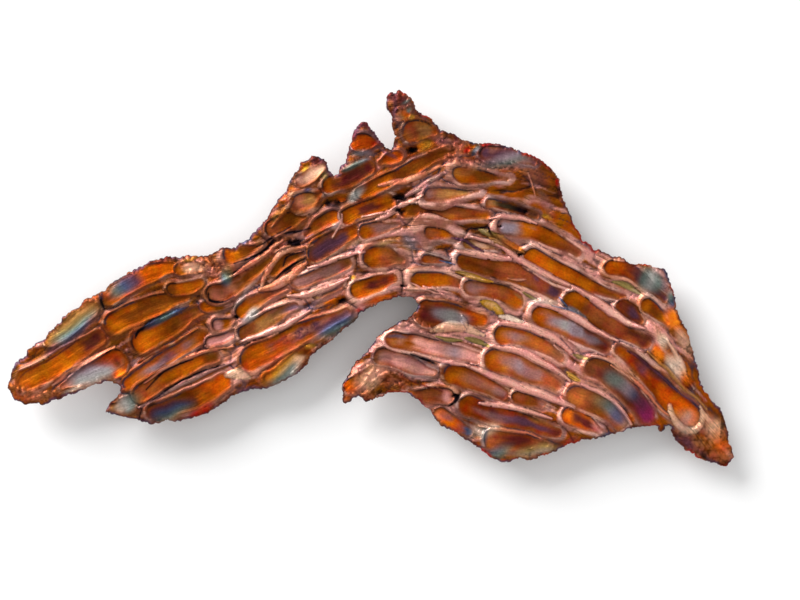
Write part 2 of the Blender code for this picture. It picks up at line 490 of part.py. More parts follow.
def under_points(outline):
    """Where the underside's mesh has points: in rings round the feet, then in between."""
    rings = []
    for (px, py), _, _ in FEET:
        rings.append(np.array([(px, py)]))
        for radius in FOOT_RINGS:
            turns = np.linspace(0, 2 * math.pi, max(6, round(radius * 2.6)), endpoint=False)
            rings.append(np.column_stack([px + radius * np.cos(turns), py + radius * np.sin(turns)]))
    groups = [
        (np.vstack(rings), 1.6, 1.5),
        (hexagonal(UNDER_STEP, outline), UNDER_STEP * 0.7, 1.6),
    ]
    return spread_out(groups, outline)


def triangulated(outline, points):
    """Points and triangles over the sheet's plan, the edge's own points first and in order."""
    edge = [(i, (i + 1) % len(outline)) for i in range(len(outline))]
    flat = [tuple(p) for p in np.vstack([outline, points])]
    places, _, faces, *_ = delaunay_2d_cdt(flat, edge, [], 1, 1e-6)
    return np.array([tuple(p) for p in places]), [tuple(f) for f in faces]


def sheet_mesh():
    """The closed mesh of the sheet: its face, its underside and a rounded wall between them."""
    outline = ragged_outline(np.random.default_rng(SEED))
    count = len(outline)
    top, top_faces = triangulated(outline, face_points(outline))
    under, under_faces = triangulated(outline, under_points(outline))
    top_z = top_height(*top.T, depth_inside(outline, *top.T))
    under_z = under_height(*under.T, depth_inside(outline, *under.T))

    along = np.roll(outline, -1, axis=0) - np.roll(outline, 1, axis=0)
    out = np.column_stack([-along[:, 1], along[:, 0]])
    out /= np.linalg.norm(out, axis=1)[:, None]
    waist = outline + out * WALL_BULGE
    waist_z = (top_z[:count] + under_z[:count]) / 2

    points = np.vstack(
        [
            np.column_stack([top, top_z]),
            np.column_stack([under, under_z]),
            np.column_stack([waist, waist_z]),
        ]
    )
    under_start, waist_start = len(top), len(top) + len(under)
    faces = list(top_faces)
    faces += [tuple(under_start + i for i in reversed(face)) for face in under_faces]
    for i in range(count):
        j = (i + 1) % count
        upper, middle, lower = (i, j), (waist_start + i, waist_start + j), (under_start + i, under_start + j)
        for high, low in ((upper, middle), (middle, lower)):
            faces.append((high[0], high[1], low[1]))
            faces.append((high[0], low[1], low[0]))
    return points, faces


def copper():
    """Bright copper under a thin brown oxide."""
    material = bpy.data.materials.new("heat_coloured_copper")
    material.use_nodes = True
    shader = material.node_tree.nodes["Principled BSDF"]
    shader.inputs["Base Color"].default_value = (0.50, 0.18, 0.07, 1)
    shader.inputs["Metallic"].default_value = 1.0
    shader.inputs["Roughness"].default_value = 0.38
    return material


def build():
    for obj in list(bpy.data.objects):
        bpy.data.objects.remove(obj)
    points, faces = sheet_mesh()
    low, high = points.min(0), points.max(0)
    middle = np.array([(low[0] + high[0]) / 2, (low[1] + high[1]) / 2, low[2]])
    mesh = bpy.data.meshes.new("copper_sheet")
    mesh.from_pydata(((points - middle) * MM).tolist(), [], faces)
    mesh.materials.append(copper())
    mesh.shade_smooth()
    sheet = bpy.data.objects.new("copper_sheet", mesh)
    bpy.context.scene.collection.objects.link(sheet)
    print("middle of the sheet's box in the plan above:", middle.round(3), "size:", (high - low).round(2))


build()
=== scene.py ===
# %% [markdown]
# # A sheet of native copper
# The piece is a thin, ragged sheet of copper that grew, and was squeezed flat, in a crack of a rock. It
# lies on a pale table and is looked at from straight above. Its face is covered with long oval lobes
# that lie over one another like scales. Each has a smooth hollow floor and a round rim of bare copper.
# The solid model is loaded first, as a fixed frame: it gives the size and the place of everything.

# %% Load the solid model
import math

import bpy
import numpy as np
from mathutils.geometry import delaunay_2d_cdt
from mathutils.kdtree import KDTree
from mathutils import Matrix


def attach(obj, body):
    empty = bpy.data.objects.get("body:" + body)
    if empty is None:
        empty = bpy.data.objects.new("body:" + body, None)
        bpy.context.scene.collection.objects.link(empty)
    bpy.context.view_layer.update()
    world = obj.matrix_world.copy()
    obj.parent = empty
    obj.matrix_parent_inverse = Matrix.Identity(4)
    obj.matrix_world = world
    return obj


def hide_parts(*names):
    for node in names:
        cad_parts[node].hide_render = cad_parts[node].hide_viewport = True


MM = 0.001
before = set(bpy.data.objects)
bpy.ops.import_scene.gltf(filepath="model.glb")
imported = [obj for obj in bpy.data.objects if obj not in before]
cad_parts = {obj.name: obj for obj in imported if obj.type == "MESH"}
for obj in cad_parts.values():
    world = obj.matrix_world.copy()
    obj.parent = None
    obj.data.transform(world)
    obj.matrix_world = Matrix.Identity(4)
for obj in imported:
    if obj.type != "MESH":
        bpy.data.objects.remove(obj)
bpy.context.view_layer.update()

# %% [markdown]
# ## The sheet's edge
# Seen from above, a natural sheet is all edge: two arms, three short spires and a rough tail. The
# points below were read in millimetres, clockwise from the left arm's tip.
# A circle with one vertex for each point is added first. Its vertices are then moved onto the points,
# so that the edge is one closed line in the right order.

# %% Points on the edge
EDGE = [
    # the left arm's upper edge
    (-120.5, -35), (-119, -32.5), (-119.1, -30.5), (-117.8, -28), (-116, -26.4), (-114, -25.3),
    (-113.9, -23.4), (-112, -22.4), (-110, -21), (-107.8, -19.8), (-107.2, -18.1), (-105.4, -16.7),
    (-104, -15.1), (-102.7, -14.2), (-102.2, -12.7), (-100.8, -11.5), (-98.6, -10.2), (-96.5, -8.9),
    (-95.3, -7.3), (-93.4, -6.3), (-90.8, -4.8), (-88, -3.6), (-86.3, -1.3), (-83.6, 0.2),
    (-81.4, 1.5), (-78.5, 3.3), (-75.6, 4.6), (-73.1, 6.2), (-70.3, 6.6), (-67.2, 7.5),
    (-63.8, 7.3), (-60.6, 8), (-57.5, 7.5), (-55, 7.7), (-52.4, 8.6), (-49.9, 10),
    (-46.9, 10.6), (-44.7, 10.5), (-43.5, 12.2), (-42, 12.6), (-39.9, 13.7), (-39.2, 15.2),
    (-37.9, 15.8), (-37.1, 17.3), (-35.7, 18.7), (-34.2, 19.8), (-33.4, 21.4), (-32.9, 23.3),
    (-31.4, 24.5), (-30.6, 26.3), (-29, 28.2), (-27.5, 30.1), (-27.3, 31.7),
    # the blunt spire
    (-26.1, 33.1), (-24.9, 35.1), (-23.4, 37), (-22.9, 38.9), (-21.2, 39.6), (-19.6, 40.7),
    (-18.4, 41.3), (-16, 40.4), (-15, 39.3), (-14.3, 38), (-14, 36.2), (-12.9, 34.7),
    (-11.6, 34.3), (-10.1, 35.3), (-9.8, 37.7),
    # the pointed spire
    (-8.4, 38.7), (-7.4, 40.1), (-7, 42.3), (-6.3, 45.5), (-5.7, 47.6), (-4.9, 49.6),
    (-3.8, 51.6), (-2.1, 52.6), (-1, 52.2), (-0.4, 50.9), (0.5, 49.5), (1.8, 47.8),
    (3.2, 46), (4.6, 44.4), (6, 43.3), (7.4, 43.1), (8.3, 44.1),
    # the tower
    (8, 45.6), (9.2, 48.1), (7.9, 49.8), (7.4, 51.6), (7.8, 53.5), (7.2, 55.5),
    (6.1, 57), (5.8, 58.6), (6.3, 60), (6.2, 61.4), (7.3, 62.3), (8.4, 61.9),
    (9.6, 62.9), (10.4, 62.1), (11.7, 62), (13, 60.6), (14.1, 59.7), (14.7, 58.3),
    (14.9, 56.9), (15.8, 55.7), (17.2, 54.8), (18.6, 54.3), (19.8, 53.7), (21.1, 52.2),
    (22.5, 50.8), (23.5, 49.4), (25, 49.7), (25.9, 48.5), (27.1, 48.7), (28.1, 47.8),
    # the right shoulder
    (29.8, 47.2), (31.3, 46), (32.8, 46), (34.1, 45.2), (36.3, 45.1), (39, 45.4),
    (41.5, 45.1), (44, 44.4), (46.5, 43.7), (49, 42.8), (51.5, 42), (53.6, 41.4),
    (55, 40.9), (57.4, 39.1), (59.1, 38), (60.6, 36.6), (61.8, 35), (62.8, 33.3),
    (63.3, 31), (63.5, 29), (64.2, 27), (65, 25), (65.7, 23), (66.8, 21),
    (67.4, 19.1), (68.4, 17.2), (69.5, 15.9), (70.1, 13.9), (70.8, 12.7), (72.2, 12.6),
    (73.5, 11.4), (74.4, 9.6), (76, 9.8), (77.6, 9), (79.6, 8.2), (81.1, 7.5),
    (83.3, 7.6), (84.4, 6.8), (85.4, 6), (86.8, 5.2), (88.9, 5.1), (91.6, 4.8),
    (94.5, 4), (97.3, 3.5), (98.7, 2.5), (99.3, 0.8),
    # the tail's outer side
    (100, -1.8), (101.1, -4.2), (101.4, -7), (101.8, -9.6), (102.3, -11.6), (103.2, -13.6),
    (104.2, -15.4), (105.3, -17.4), (106.1, -19.3), (106.5, -21.6), (107.3, -24), (107.8, -26),
    (108.7, -28.1), (109.3, -30.3), (109.5, -32.3), (110.1, -34.3), (111, -36.7), (112.9, -38.9),
    (114.3, -40.7), (116, -42.3), (117.5, -44.3), (118.4, -46.6), (119, -48.6), (119.6, -50.6),
    (119.3, -53), (119.9, -55), (120.8, -57), (121.2, -59.3), (120.5, -60.7), (118.8, -62.2),
    # the tail's inner side
    (117.3, -61.7), (115.6, -61.1), (113.2, -60.7), (111.4, -60), (109.9, -59.2), (108.8, -57.9),
    (107.3, -57.3), (105.9, -57), (104.9, -55.8), (103.3, -54.5), (101.8, -52.6), (100.8, -50.7),
    (101, -49.2), (100, -48.4), (98.3, -48.3), (97.9, -49.7), (97, -50.3), (96.2, -49.7),
    (96.3, -48.4), (94.7, -48.3), (92.7, -48.6), (90.4, -48.6), (88.1, -49.1), (86.3, -49.3),
    (84.3, -50.3), (82, -50.9), (79.1, -51.7), (77.2, -52), (75.8, -52.7), (74.3, -52.5),
    (72.6, -53.1), (70.8, -52.8), (69.4, -53.6), (68, -54.4), (66.4, -54.3), (65, -55.3),
    (63.3, -56.1), (61, -57.2), (58.5, -58), (56, -58.8), (54.4, -59.5), (52.7, -60),
    (51.1, -59.5), (49.8, -59.2), (48, -59.8), (46.1, -60.6), (44, -60.3), (42.4, -59.7),
    # the right lobe's lower left edge and its point
    (40.3, -59), (38.6, -57.1), (37.2, -56), (35.7, -55.4), (34.3, -54.3), (32.3, -53.2),
    (30.1, -51.4), (28.1, -50), (26.4, -49.2), (24.9, -48.8), (23.3, -47.9), (21.9, -46.5),
    (21, -45), (20.1, -43.2), (18.5, -42), (17, -40.7), (15.5, -39.3), (13.6, -38.2),
    (12.2, -37.3), (10, -37.1), (7.2, -37.2), (5.5, -37.6), (4, -38.4), (2.4, -38.7),
    (0.8, -39.3), (-0.2, -40), (-1.3, -40.5), (-2.3, -39.8), (-2.7, -38.7), (-4.3, -38.4),
    (-5.6, -39), (-6.8, -40.3), (-8.1, -40.8), (-9, -39.8), (-8.7, -38.2), (-9, -36.5),
    (-8.8, -34.6), (-8, -33.2), (-7.2, -31.7), (-6.2, -29.9), (-4.9, -28.2), (-3, -26.3),
    (-1.3, -24.5), (0, -22.8), (1.3, -21), (2.4, -19.4), (3.9, -18.3), (5.4, -17),
    (7, -16.3), (8.5, -15.2), (10.1, -14), (12, -13.6), (13.4, -12.6), (14.7, -11.2),
    (15.9, -9.9), (16.3, -8.1),
    # the arch between the arms
    (15.1, -5.9), (12.8, -5.3), (10, -5.1), (8.1, -5.3), (6.9, -6.3), (5.7, -6.5),
    (4.6, -6.3), (3, -7.2), (1.2, -8), (-0.6, -9), (-2, -10.2), (-3.3, -10.4),
    # the left arm's lower edge
    (-4, -11.6), (-4.9, -13.3), (-6.1, -14.4), (-8.1, -15.6), (-10.2, -17.2), (-13.2, -20.1),
    (-16.7, -22.7), (-20.2, -25.3), (-21.5, -28.4), (-24.5, -31), (-27.6, -32.8), (-30.5, -34.4),
    (-33.7, -35.7), (-37.6, -36), (-40.2, -36.4), (-42.5, -37), (-46, -38.2), (-48.3, -40.4),
    (-51.9, -42.6), (-54.4, -44.2), (-56.9, -45.2), (-60.2, -45.7), (-64.4, -46.7), (-68, -46.4),
    (-70.4, -47.3), (-73, -47.6), (-75.6, -47), (-77.5, -45.8), (-80.5, -45.7), (-84, -44.8),
    (-87.7, -43.7), (-86.5, -41.5), (-85, -40.1), (-83.3, -38.6), (-82.6, -37), (-82.8, -35.3),
    (-83.8, -34.4), (-85.4, -33.6), (-87.1, -33.3), (-89.1, -33.8), (-91.5, -34.5), (-94, -35.5),
    (-96, -36.4), (-97.2, -37.3), (-98.7, -37.9), (-100.3, -38), (-102, -38.6), (-104, -39.5),
    (-106, -39.9), (-107.5, -40.8), (-108.8, -41), (-110.3, -40.7), (-112.5, -40.8), (-114.5, -41.2),
    (-116.2, -40.2), (-118, -39.8), (-119, -38), (-120, -36.3),
]
print("points read on the edge:", len(EDGE))

# %% [markdown]
# ## A rougher edge
# The real edge is beaded: copper squeezed out into small knobs. Each span of the edge is cut with
# Subdivide, the line is stepped along evenly, and every step is pushed in or out by a smooth random
# amount. Doing it on the line, before there is any surface, keeps the sheet's wall simple.

# %% Draw the edge and roughen it
EDGE_STEP = 0.45
KNOB_HEIGHT, KNOB_SIZE = 0.65, 0.9
BEND_HEIGHT, BEND_SIZE = 0.22, 2.4
CELLS = 128
CELL_SHIFT = 64.3, 64.7


def wobble(x, y, size, seed):
    """Smooth random hills between -1 and 1, about this many millimetres across."""
    heights = np.random.default_rng(seed).uniform(-1, 1, (CELLS, CELLS))
    gx, gy = x / size + CELL_SHIFT[0], y / size + CELL_SHIFT[1]
    ix, iy = np.floor(gx).astype(int), np.floor(gy).astype(int)
    fx, fy = gx - ix, gy - iy
    fx, fy = fx * fx * (3 - 2 * fx), fy * fy * (3 - 2 * fy)
    left, right, low, high = ix % CELLS, (ix + 1) % CELLS, iy % CELLS, (iy + 1) % CELLS
    lower = heights[low, left] * (1 - fx) + heights[low, right] * fx
    upper = heights[high, left] * (1 - fx) + heights[high, right] * fx
    return lower * (1 - fy) + upper * fy


def lengths_along(line):
    """How far along the line each of its points lies, from 0 at the first."""
    return np.concatenate([[0], np.cumsum(np.linalg.norm(np.diff(line, axis=0), axis=1))])


def points_at(places, along, line):
    """The points of a line at some places, when its own points are at the places along."""
    return np.column_stack([np.interp(places, along, line[:, axis]) for axis in (0, 1)])


def outward(line):
    """Unit vectors that point out of a clockwise closed line."""
    along = np.roll(line, -1, axis=0) - np.roll(line, 1, axis=0)
    out = np.column_stack([-along[:, 1], along[:, 0]])
    return out / np.linalg.norm(out, axis=1)[:, None]


def draw_edge():
    """A circle moved onto the edge's points and subdivided, as a closed line of places in order."""
    bpy.ops.object.select_all(action="DESELECT")
    bpy.ops.mesh.primitive_circle_add(vertices=len(EDGE), radius=0.1)
    line = bpy.context.object
    for vertex, (x, y) in zip(line.data.vertices, EDGE):
        vertex.co = (x, y, 0)
    bpy.ops.object.mode_set(mode="EDIT")
    bpy.ops.mesh.select_all(action="SELECT")
    bpy.ops.mesh.subdivide(number_cuts=4)
    bpy.ops.object.mode_set(mode="OBJECT")
    ring = [line.data.vertices[0].index]
    links = {}
    for edge in line.data.edges:
        a, b = edge.vertices
        links.setdefault(a, []).append(b)
        links.setdefault(b, []).append(a)
    ring.append(min(links[0], key=lambda i: abs(line.data.vertices[i].co.x - EDGE[1][0])))
    while len(ring) < len(line.data.vertices):
        a, b = links[ring[-1]]
        ring.append(a if b == ring[-2] else b)
    points = np.array([line.data.vertices[i].co[:2] for i in ring])
    bpy.data.objects.remove(line)
    return points


def roughened(points):
    """The edge in even short steps, with small knobs and notches."""
    closed = np.vstack([points, points[:1]])
    along = lengths_along(closed)
    places = np.linspace(0, along[-1], round(along[-1] / EDGE_STEP), endpoint=False)
    even = points_at(places, along, closed)
    bends, knobs = wobble(*even.T, BEND_SIZE, 11), np.abs(wobble(*even.T, KNOB_SIZE, 12))
    push = BEND_HEIGHT * bends + KNOB_HEIGHT * knobs - BEND_HEIGHT
    return even + outward(even) * push[:, None]


edge_line = roughened(draw_edge())
print("steps along the edge:", len(edge_line))

# %% [markdown]
# ## The colours of heated copper
# Bare copper is salmon pink. A thin skin of oxide turns it amber, brown and maroon, and the thinnest
# films show violet, blue, teal and gold. Each tone gets a plain name, so that a lobe can be described
# in words. Blender mixes light in linear values, so the screen values are converted once. The coolness
# of a tone, from 0 to 1, says how far its film has gone from the warm tones to the blue ones.

# %% Name the tones
TONES = {
    "salmon": (234, 171, 158), "coral": (208, 132, 102), "cream": (240, 214, 194),
    "peach": (232, 186, 158), "mauve": (162, 115, 108), "tan": (182, 130, 80),
    "amber": (184, 102, 20), "orange": (212, 108, 20), "brown": (126, 70, 24),
    "maroon": (106, 50, 42), "purple": (106, 70, 86), "lilac": (158, 142, 150),
    "grey": (170, 168, 164), "teal": (110, 128, 122), "blue": (82, 96, 126),
    "olive": (156, 134, 86), "gold": (200, 150, 58), "flame": (240, 140, 42), "red": (190, 56, 34),
    "ember": (162, 70, 18), "magenta": (142, 50, 90), "dark": (36, 26, 32), "rust": (156, 88, 52),
}


def linear(rgb):
    """Screen values from 0 to 255 as linear light."""
    value = np.array(rgb) / 255
    return np.where(value < 0.04045, value / 12.92, ((value + 0.055) / 1.055) ** 2.4)


COLOUR = {name: linear(rgb) for name, rgb in TONES.items()}
COOLNESS = {
    "mauve": 0.5, "maroon": 0.6, "purple": 0.9, "lilac": 1, "grey": 1, "teal": 1, "blue": 1,
    "magenta": 0.9, "olive": 1, "gold": 0.8,
}
print("tones:", ", ".join(COLOUR))

# %% [markdown]
# ## The lobes
# A lobe is a finger of copper with a hollow floor. It is written as the line of its floor from its
# round head to its tail, the floor's half width at either end, the width of the rim, and four tones:
# the floor's at the head, in the middle and at the tail, and the rim's.
# Later lobes lie on top of earlier ones, just as scales do, so the order matters.

# %% Lobes of the left arm
LOBES = [
    (((-108, -21.5), (-99, -14.5), (-90.5, -8)), 2.2, 3.6, 0.7, "brown olive tan brown"),
    (((-81.2, -25.5), (-90, -30.5), (-103, -36.3)), 4.2, 2.6, 0.5, "ember grey coral rust"),
    (((-117, -34.5), (-107, -30), (-97, -23.5), (-88, -18)), 3.6, 3.6, 1.0, "amber amber maroon rust"),
    (((-88.5, -6.5), (-80, -1.5), (-70, 3), (-62, 4.5)), 3.6, 2.8, 0.6, "rust orange orange brown"),
    (((-82, -35.5), (-74, -30), (-63, -22.5), (-54, -18)), 2.2, 2.5, 0.7, "amber mauve amber coral"),
    (((-86.5, -43.5), (-80, -42), (-77, -40)), 1.6, 3.4, 0.6, "tan cream teal rust"),
    (((-73.5, -45), (-64, -42), (-53, -37), (-46.5, -33)), 2.7, 3.5, 0.8, "maroon brown orange salmon"),
    (((-87, -16), (-78, -11.5), (-68, -7.5), (-60, -5.5)), 3.4, 3.0, 1.3, "amber brown brown rust"),
    (((-78.7, -22), (-70, -17.5), (-61, -12.5), (-54, -10)), 3.1, 2.6, 1.1, "amber brown rust rust"),
    (((-78, -39), (-68, -33), (-58, -27.5), (-49.5, -24.5)), 2.8, 2.8, 0.8, "rust amber brown coral"),
    (((-68, -3.5), (-61, -3), (-55.5, -0.5)), 2.0, 2.4, 0.5, "brown amber amber rust"),
    (((-65.5, 3.0), (-58, 4.2), (-52.5, 2.6)), 2.2, 1.2, 0.5, "amber peach salmon coral"),
    (((-56, -9.5), (-51, -8.5), (-46, -7.5)), 1.8, 1.3, 0.6, "amber amber salmon mauve"),
    (((-52.5, -15.5), (-48.5, -14.5), (-45, -12.5)), 2.2, 1.4, 1.1, "salmon amber mauve salmon"),
    (((-54.5, -21), (-47, -18.5), (-42, -14.5)), 1.4, 1.2, 0.6, "salmon salmon mauve salmon"),
    (((-54, -5.8), (-46, -2), (-38, 3.5), (-31, 9)), 3.0, 2.4, 0.7, "coral brown brown coral"),
    (((-35, -33.5), (-28, -30), (-19.5, -23.5)), 1.8, 2.2, 0.7, "orange peach brown orange"),
    (((-44.5, -11), (-36, -6.5), (-27, -3)), 2.4, 1.8, 0.9, "amber rust mauve salmon"),
    (((-48.3, 8), (-42, 9.5), (-36, 12.5)), 2.4, 1.4, 1.9, "amber brown brown coral"),
    (((-43.5, -18.5), (-34, -13.5), (-24, -8.5)), 2.8, 2.3, 0.8, "rust tan mauve salmon"),
    (((-42.5, -28), (-31, -22.5), (-17, -15), (-6, -10)), 3.7, 3.1, 0.7, "amber purple mauve coral"),
]
print("lobes of the left arm:", len(LOBES))

# %% Lobes in the middle and on the spires
LOBES += [
    (((-34.5, 16), (-27, 19.5), (-21, 22.5)), 2.8, 2.7, 0.8, "rust brown brown rust"),
    (((-26, -1.5), (-16, 2.5), (-6, 7)), 2.0, 2.5, 0.8, "mauve mauve brown salmon"),
    (((-33, 2.4), (-28, 6.5), (-20, 10)), 2.0, 1.2, 0.6, "brown brown mauve coral"),
    (((-20.5, 8.5), (-13, 12.5), (-4, 16.5)), 3.4, 3.2, 0.7, "purple purple amber amber"),
    (((-9.8, 21.5), (-15, 20), (-22, 15)), 2.1, 1.3, 1.0, "amber brown brown mauve"),
    (((-25.5, 25.5), (-20, 27), (-16, 29)), 3.0, 1.8, 1.3, "coral tan brown rust"),
    (((-19.5, -5.5), (-13, -2.5), (-8.5, -1)), 1.7, 1.9, 0.7, "tan tan mauve salmon"),
    (((-25, 32.6), (-20, 35.2), (-15, 38)), 2.2, 2.3, 0.4, "mauve peach peach brown"),
    (((-15.5, 30.5), (-8, 33), (1, 37.8)), 2.6, 2.9, 0.7, "amber maroon maroon rust"),
    (((-9.5, 20), (-1, 23.5), (8, 27)), 2.6, 3.2, 0.8, "amber maroon amber coral"),
    (((-4, 28.5), (9, 34.5), (20, 39.5), (29, 43.5)), 2.0, 2.2, 0.7, "amber brown brown rust"),
    (((-5.8, 43.8), (-1, 45.2), (3.6, 45.4)), 3.0, 1.8, 0.6, "ember ember maroon purple"),
    (((10.5, 41.5), (6.5, 40.5), (2.5, 38.5)), 2.2, 1.6, 0.6, "ember ember brown coral"),
    (((-3.5, 15.2), (3, 17), (10, 18.3)), 2.2, 1.8, 0.7, "amber mauve mauve salmon"),
    (((-2.4, 7.6), (4.5, 7.4), (11.6, 6.4)), 3.4, 2.6, 0.9, "amber rust tan salmon"),
    (((-5.8, -4.2), (1, -2), (9.3, 0.8)), 3.1, 2.8, 0.9, "amber maroon ember salmon"),
    (((11, 47.5), (16, 50), (22.5, 48.6)), 3.6, 2.8, 0.6, "rust tan orange rust"),
    (((8, 55), (11.5, 55.5), (14, 58)), 1.8, 1.6, 0.7, "tan orange teal purple"),
]
print("lobes so far:", len(LOBES))

# %% Lobes of the lower right part
LOBES += [
    (((-8, -36.5), (-4, -33), (0.5, -28.5)), 2.2, 2.0, 0.9, "orange amber rust coral"),
    (((1, -24.8), (9, -26.5), (22, -31)), 3.0, 2.4, 0.6, "mauve salmon salmon mauve"),
    (((5, -19), (14, -20.8), (26, -23.5), (37, -26.3)), 2.8, 2.8, 0.7, "amber salmon salmon salmon"),
    (((15, -10.8), (27, -11.8), (39, -13.8)), 4.2, 3.6, 0.5, "maroon maroon orange coral"),
    (((28, -39.5), (21, -38), (13, -36.5)), 2.8, 1.6, 0.9, "salmon rust orange coral"),
    (((21.5, -44), (27, -47.5), (34, -51.5)), 2.2, 2.4, 0.5, "coral orange blue rust"),
    (((24.5, -30.5), (34, -33), (46, -38.5)), 3.2, 3.0, 1.2, "amber rust mauve rust"),
    (((29.5, -40.5), (41, -44.5), (53, -48), (64, -51)), 3.4, 3.0, 0.6, "ember purple maroon mauve"),
    (((38, -53), (48, -53.5), (60, -55)), 3.2, 2.2, 0.5, "rust maroon rust coral"),
]
print("lobes so far:", len(LOBES))

# %% Lobes of the face right of the spires
LOBES += [
    (((10, 22.8), (24, 23), (40, 21)), 2.3, 2.2, 0.9, "brown rust amber salmon"),
    (((17.5, 28.3), (25, 28.3), (36, 29.5)), 2.1, 0.8, 2.4, "mauve tan mauve salmon"),
    (((28, 34.7), (36, 34.5), (46, 33)), 2.8, 1.6, 2.0, "amber brown brown salmon"),
    (((37, 42.5), (46, 41.8), (55, 38.8)), 2.2, 2.0, 0.8, "purple mauve purple purple"),
    (((38.5, 25.3), (47, 24), (56, 21.5)), 1.2, 1.4, 0.5, "tan dark brown mauve"),
    (((18.5, 15.7), (24, 16), (29, 14.5)), 1.9, 1.0, 3.2, "rust amber rust salmon"),
    (((31, 12.7), (37, 11.8), (43, 10.3)), 1.5, 0.8, 1.6, "tan peach tan salmon"),
    (((17, 7.5), (22, 7), (28, 5.8)), 1.4, 0.8, 0.9, "amber rust mauve mauve"),
    (((13.5, 0.3), (22, 0), (31, -1.5)), 2.6, 2.2, 1.4, "amber amber rust salmon"),
    (((29, 7), (41, 4.5), (53, 1), (64, -5)), 3.2, 3.2, 1.0, "brown rust purple salmon"),
    (((31, -2), (40, -3.5), (51.5, -7.5)), 2.3, 3.4, 0.9, "mauve rust amber salmon"),
    (((42.5, 17.7), (52, 17), (61, 13.5), (70, 8.5)), 2.8, 2.4, 1.9, "lilac amber rust salmon"),
    (((41.5, -18), (50, -19), (58, -22.5), (64, -26.5)), 3.0, 2.5, 1.6, "amber amber rust salmon"),
    (((47.5, -38), (52, -39.5), (58, -41.5)), 2.0, 1.8, 0.7, "rust brown mauve salmon"),
    (((38, -26), (46, -27.5), (55, -31.5), (63, -35.5)), 3.8, 3.4, 1.5, "amber mauve ember salmon"),
]
print("lobes so far:", len(LOBES))

# %% Lobes of the right end and the tail
LOBES += [
    (((51.5, 9), (60, 4), (70, -1), (85, -6.5)), 3.4, 2.4, 1.2, "amber amber brown salmon"),
    (((54.5, -10.5), (62, -13.5), (71, -18), (79.5, -23.5)), 3.6, 3.6, 1.6, "amber lilac maroon salmon"),
    (((82, -8), (86.5, -10), (91, -14)), 2.4, 2.1, 0.9, "maroon purple maroon coral"),
    (((65.2, -5.3), (74, -11), (84, -17), (93, -22)), 3.0, 3.5, 1.1, "amber rust maroon salmon"),
    (((64, -43.5), (70, -46.5), (77, -50.5)), 2.9, 2.2, 0.8, "orange maroon salmon salmon"),
    (((65.5, -36.8), (73, -40), (80, -44.5), (85, -49)), 3.4, 3.5, 1.1, "amber brown amber coral"),
    (((71.5, -28), (79, -31.5), (87, -39), (94, -47.5)), 3.0, 3.9, 0.9, "brown maroon magenta coral"),
    (((78, 5.5), (84, 3.5), (92, -1), (99, -7)), 2.3, 2.2, 1.0, "orange maroon purple coral"),
    (((90, -7.5), (94, -9.5), (99, -14.5)), 2.3, 1.4, 1.4, "amber brown amber coral"),
    (((109, -48.5), (101, -40), (92, -31), (81, -23)), 3.5, 3.0, 2.0, "orange ember amber coral"),
]
print("lobes in all:", len(LOBES))
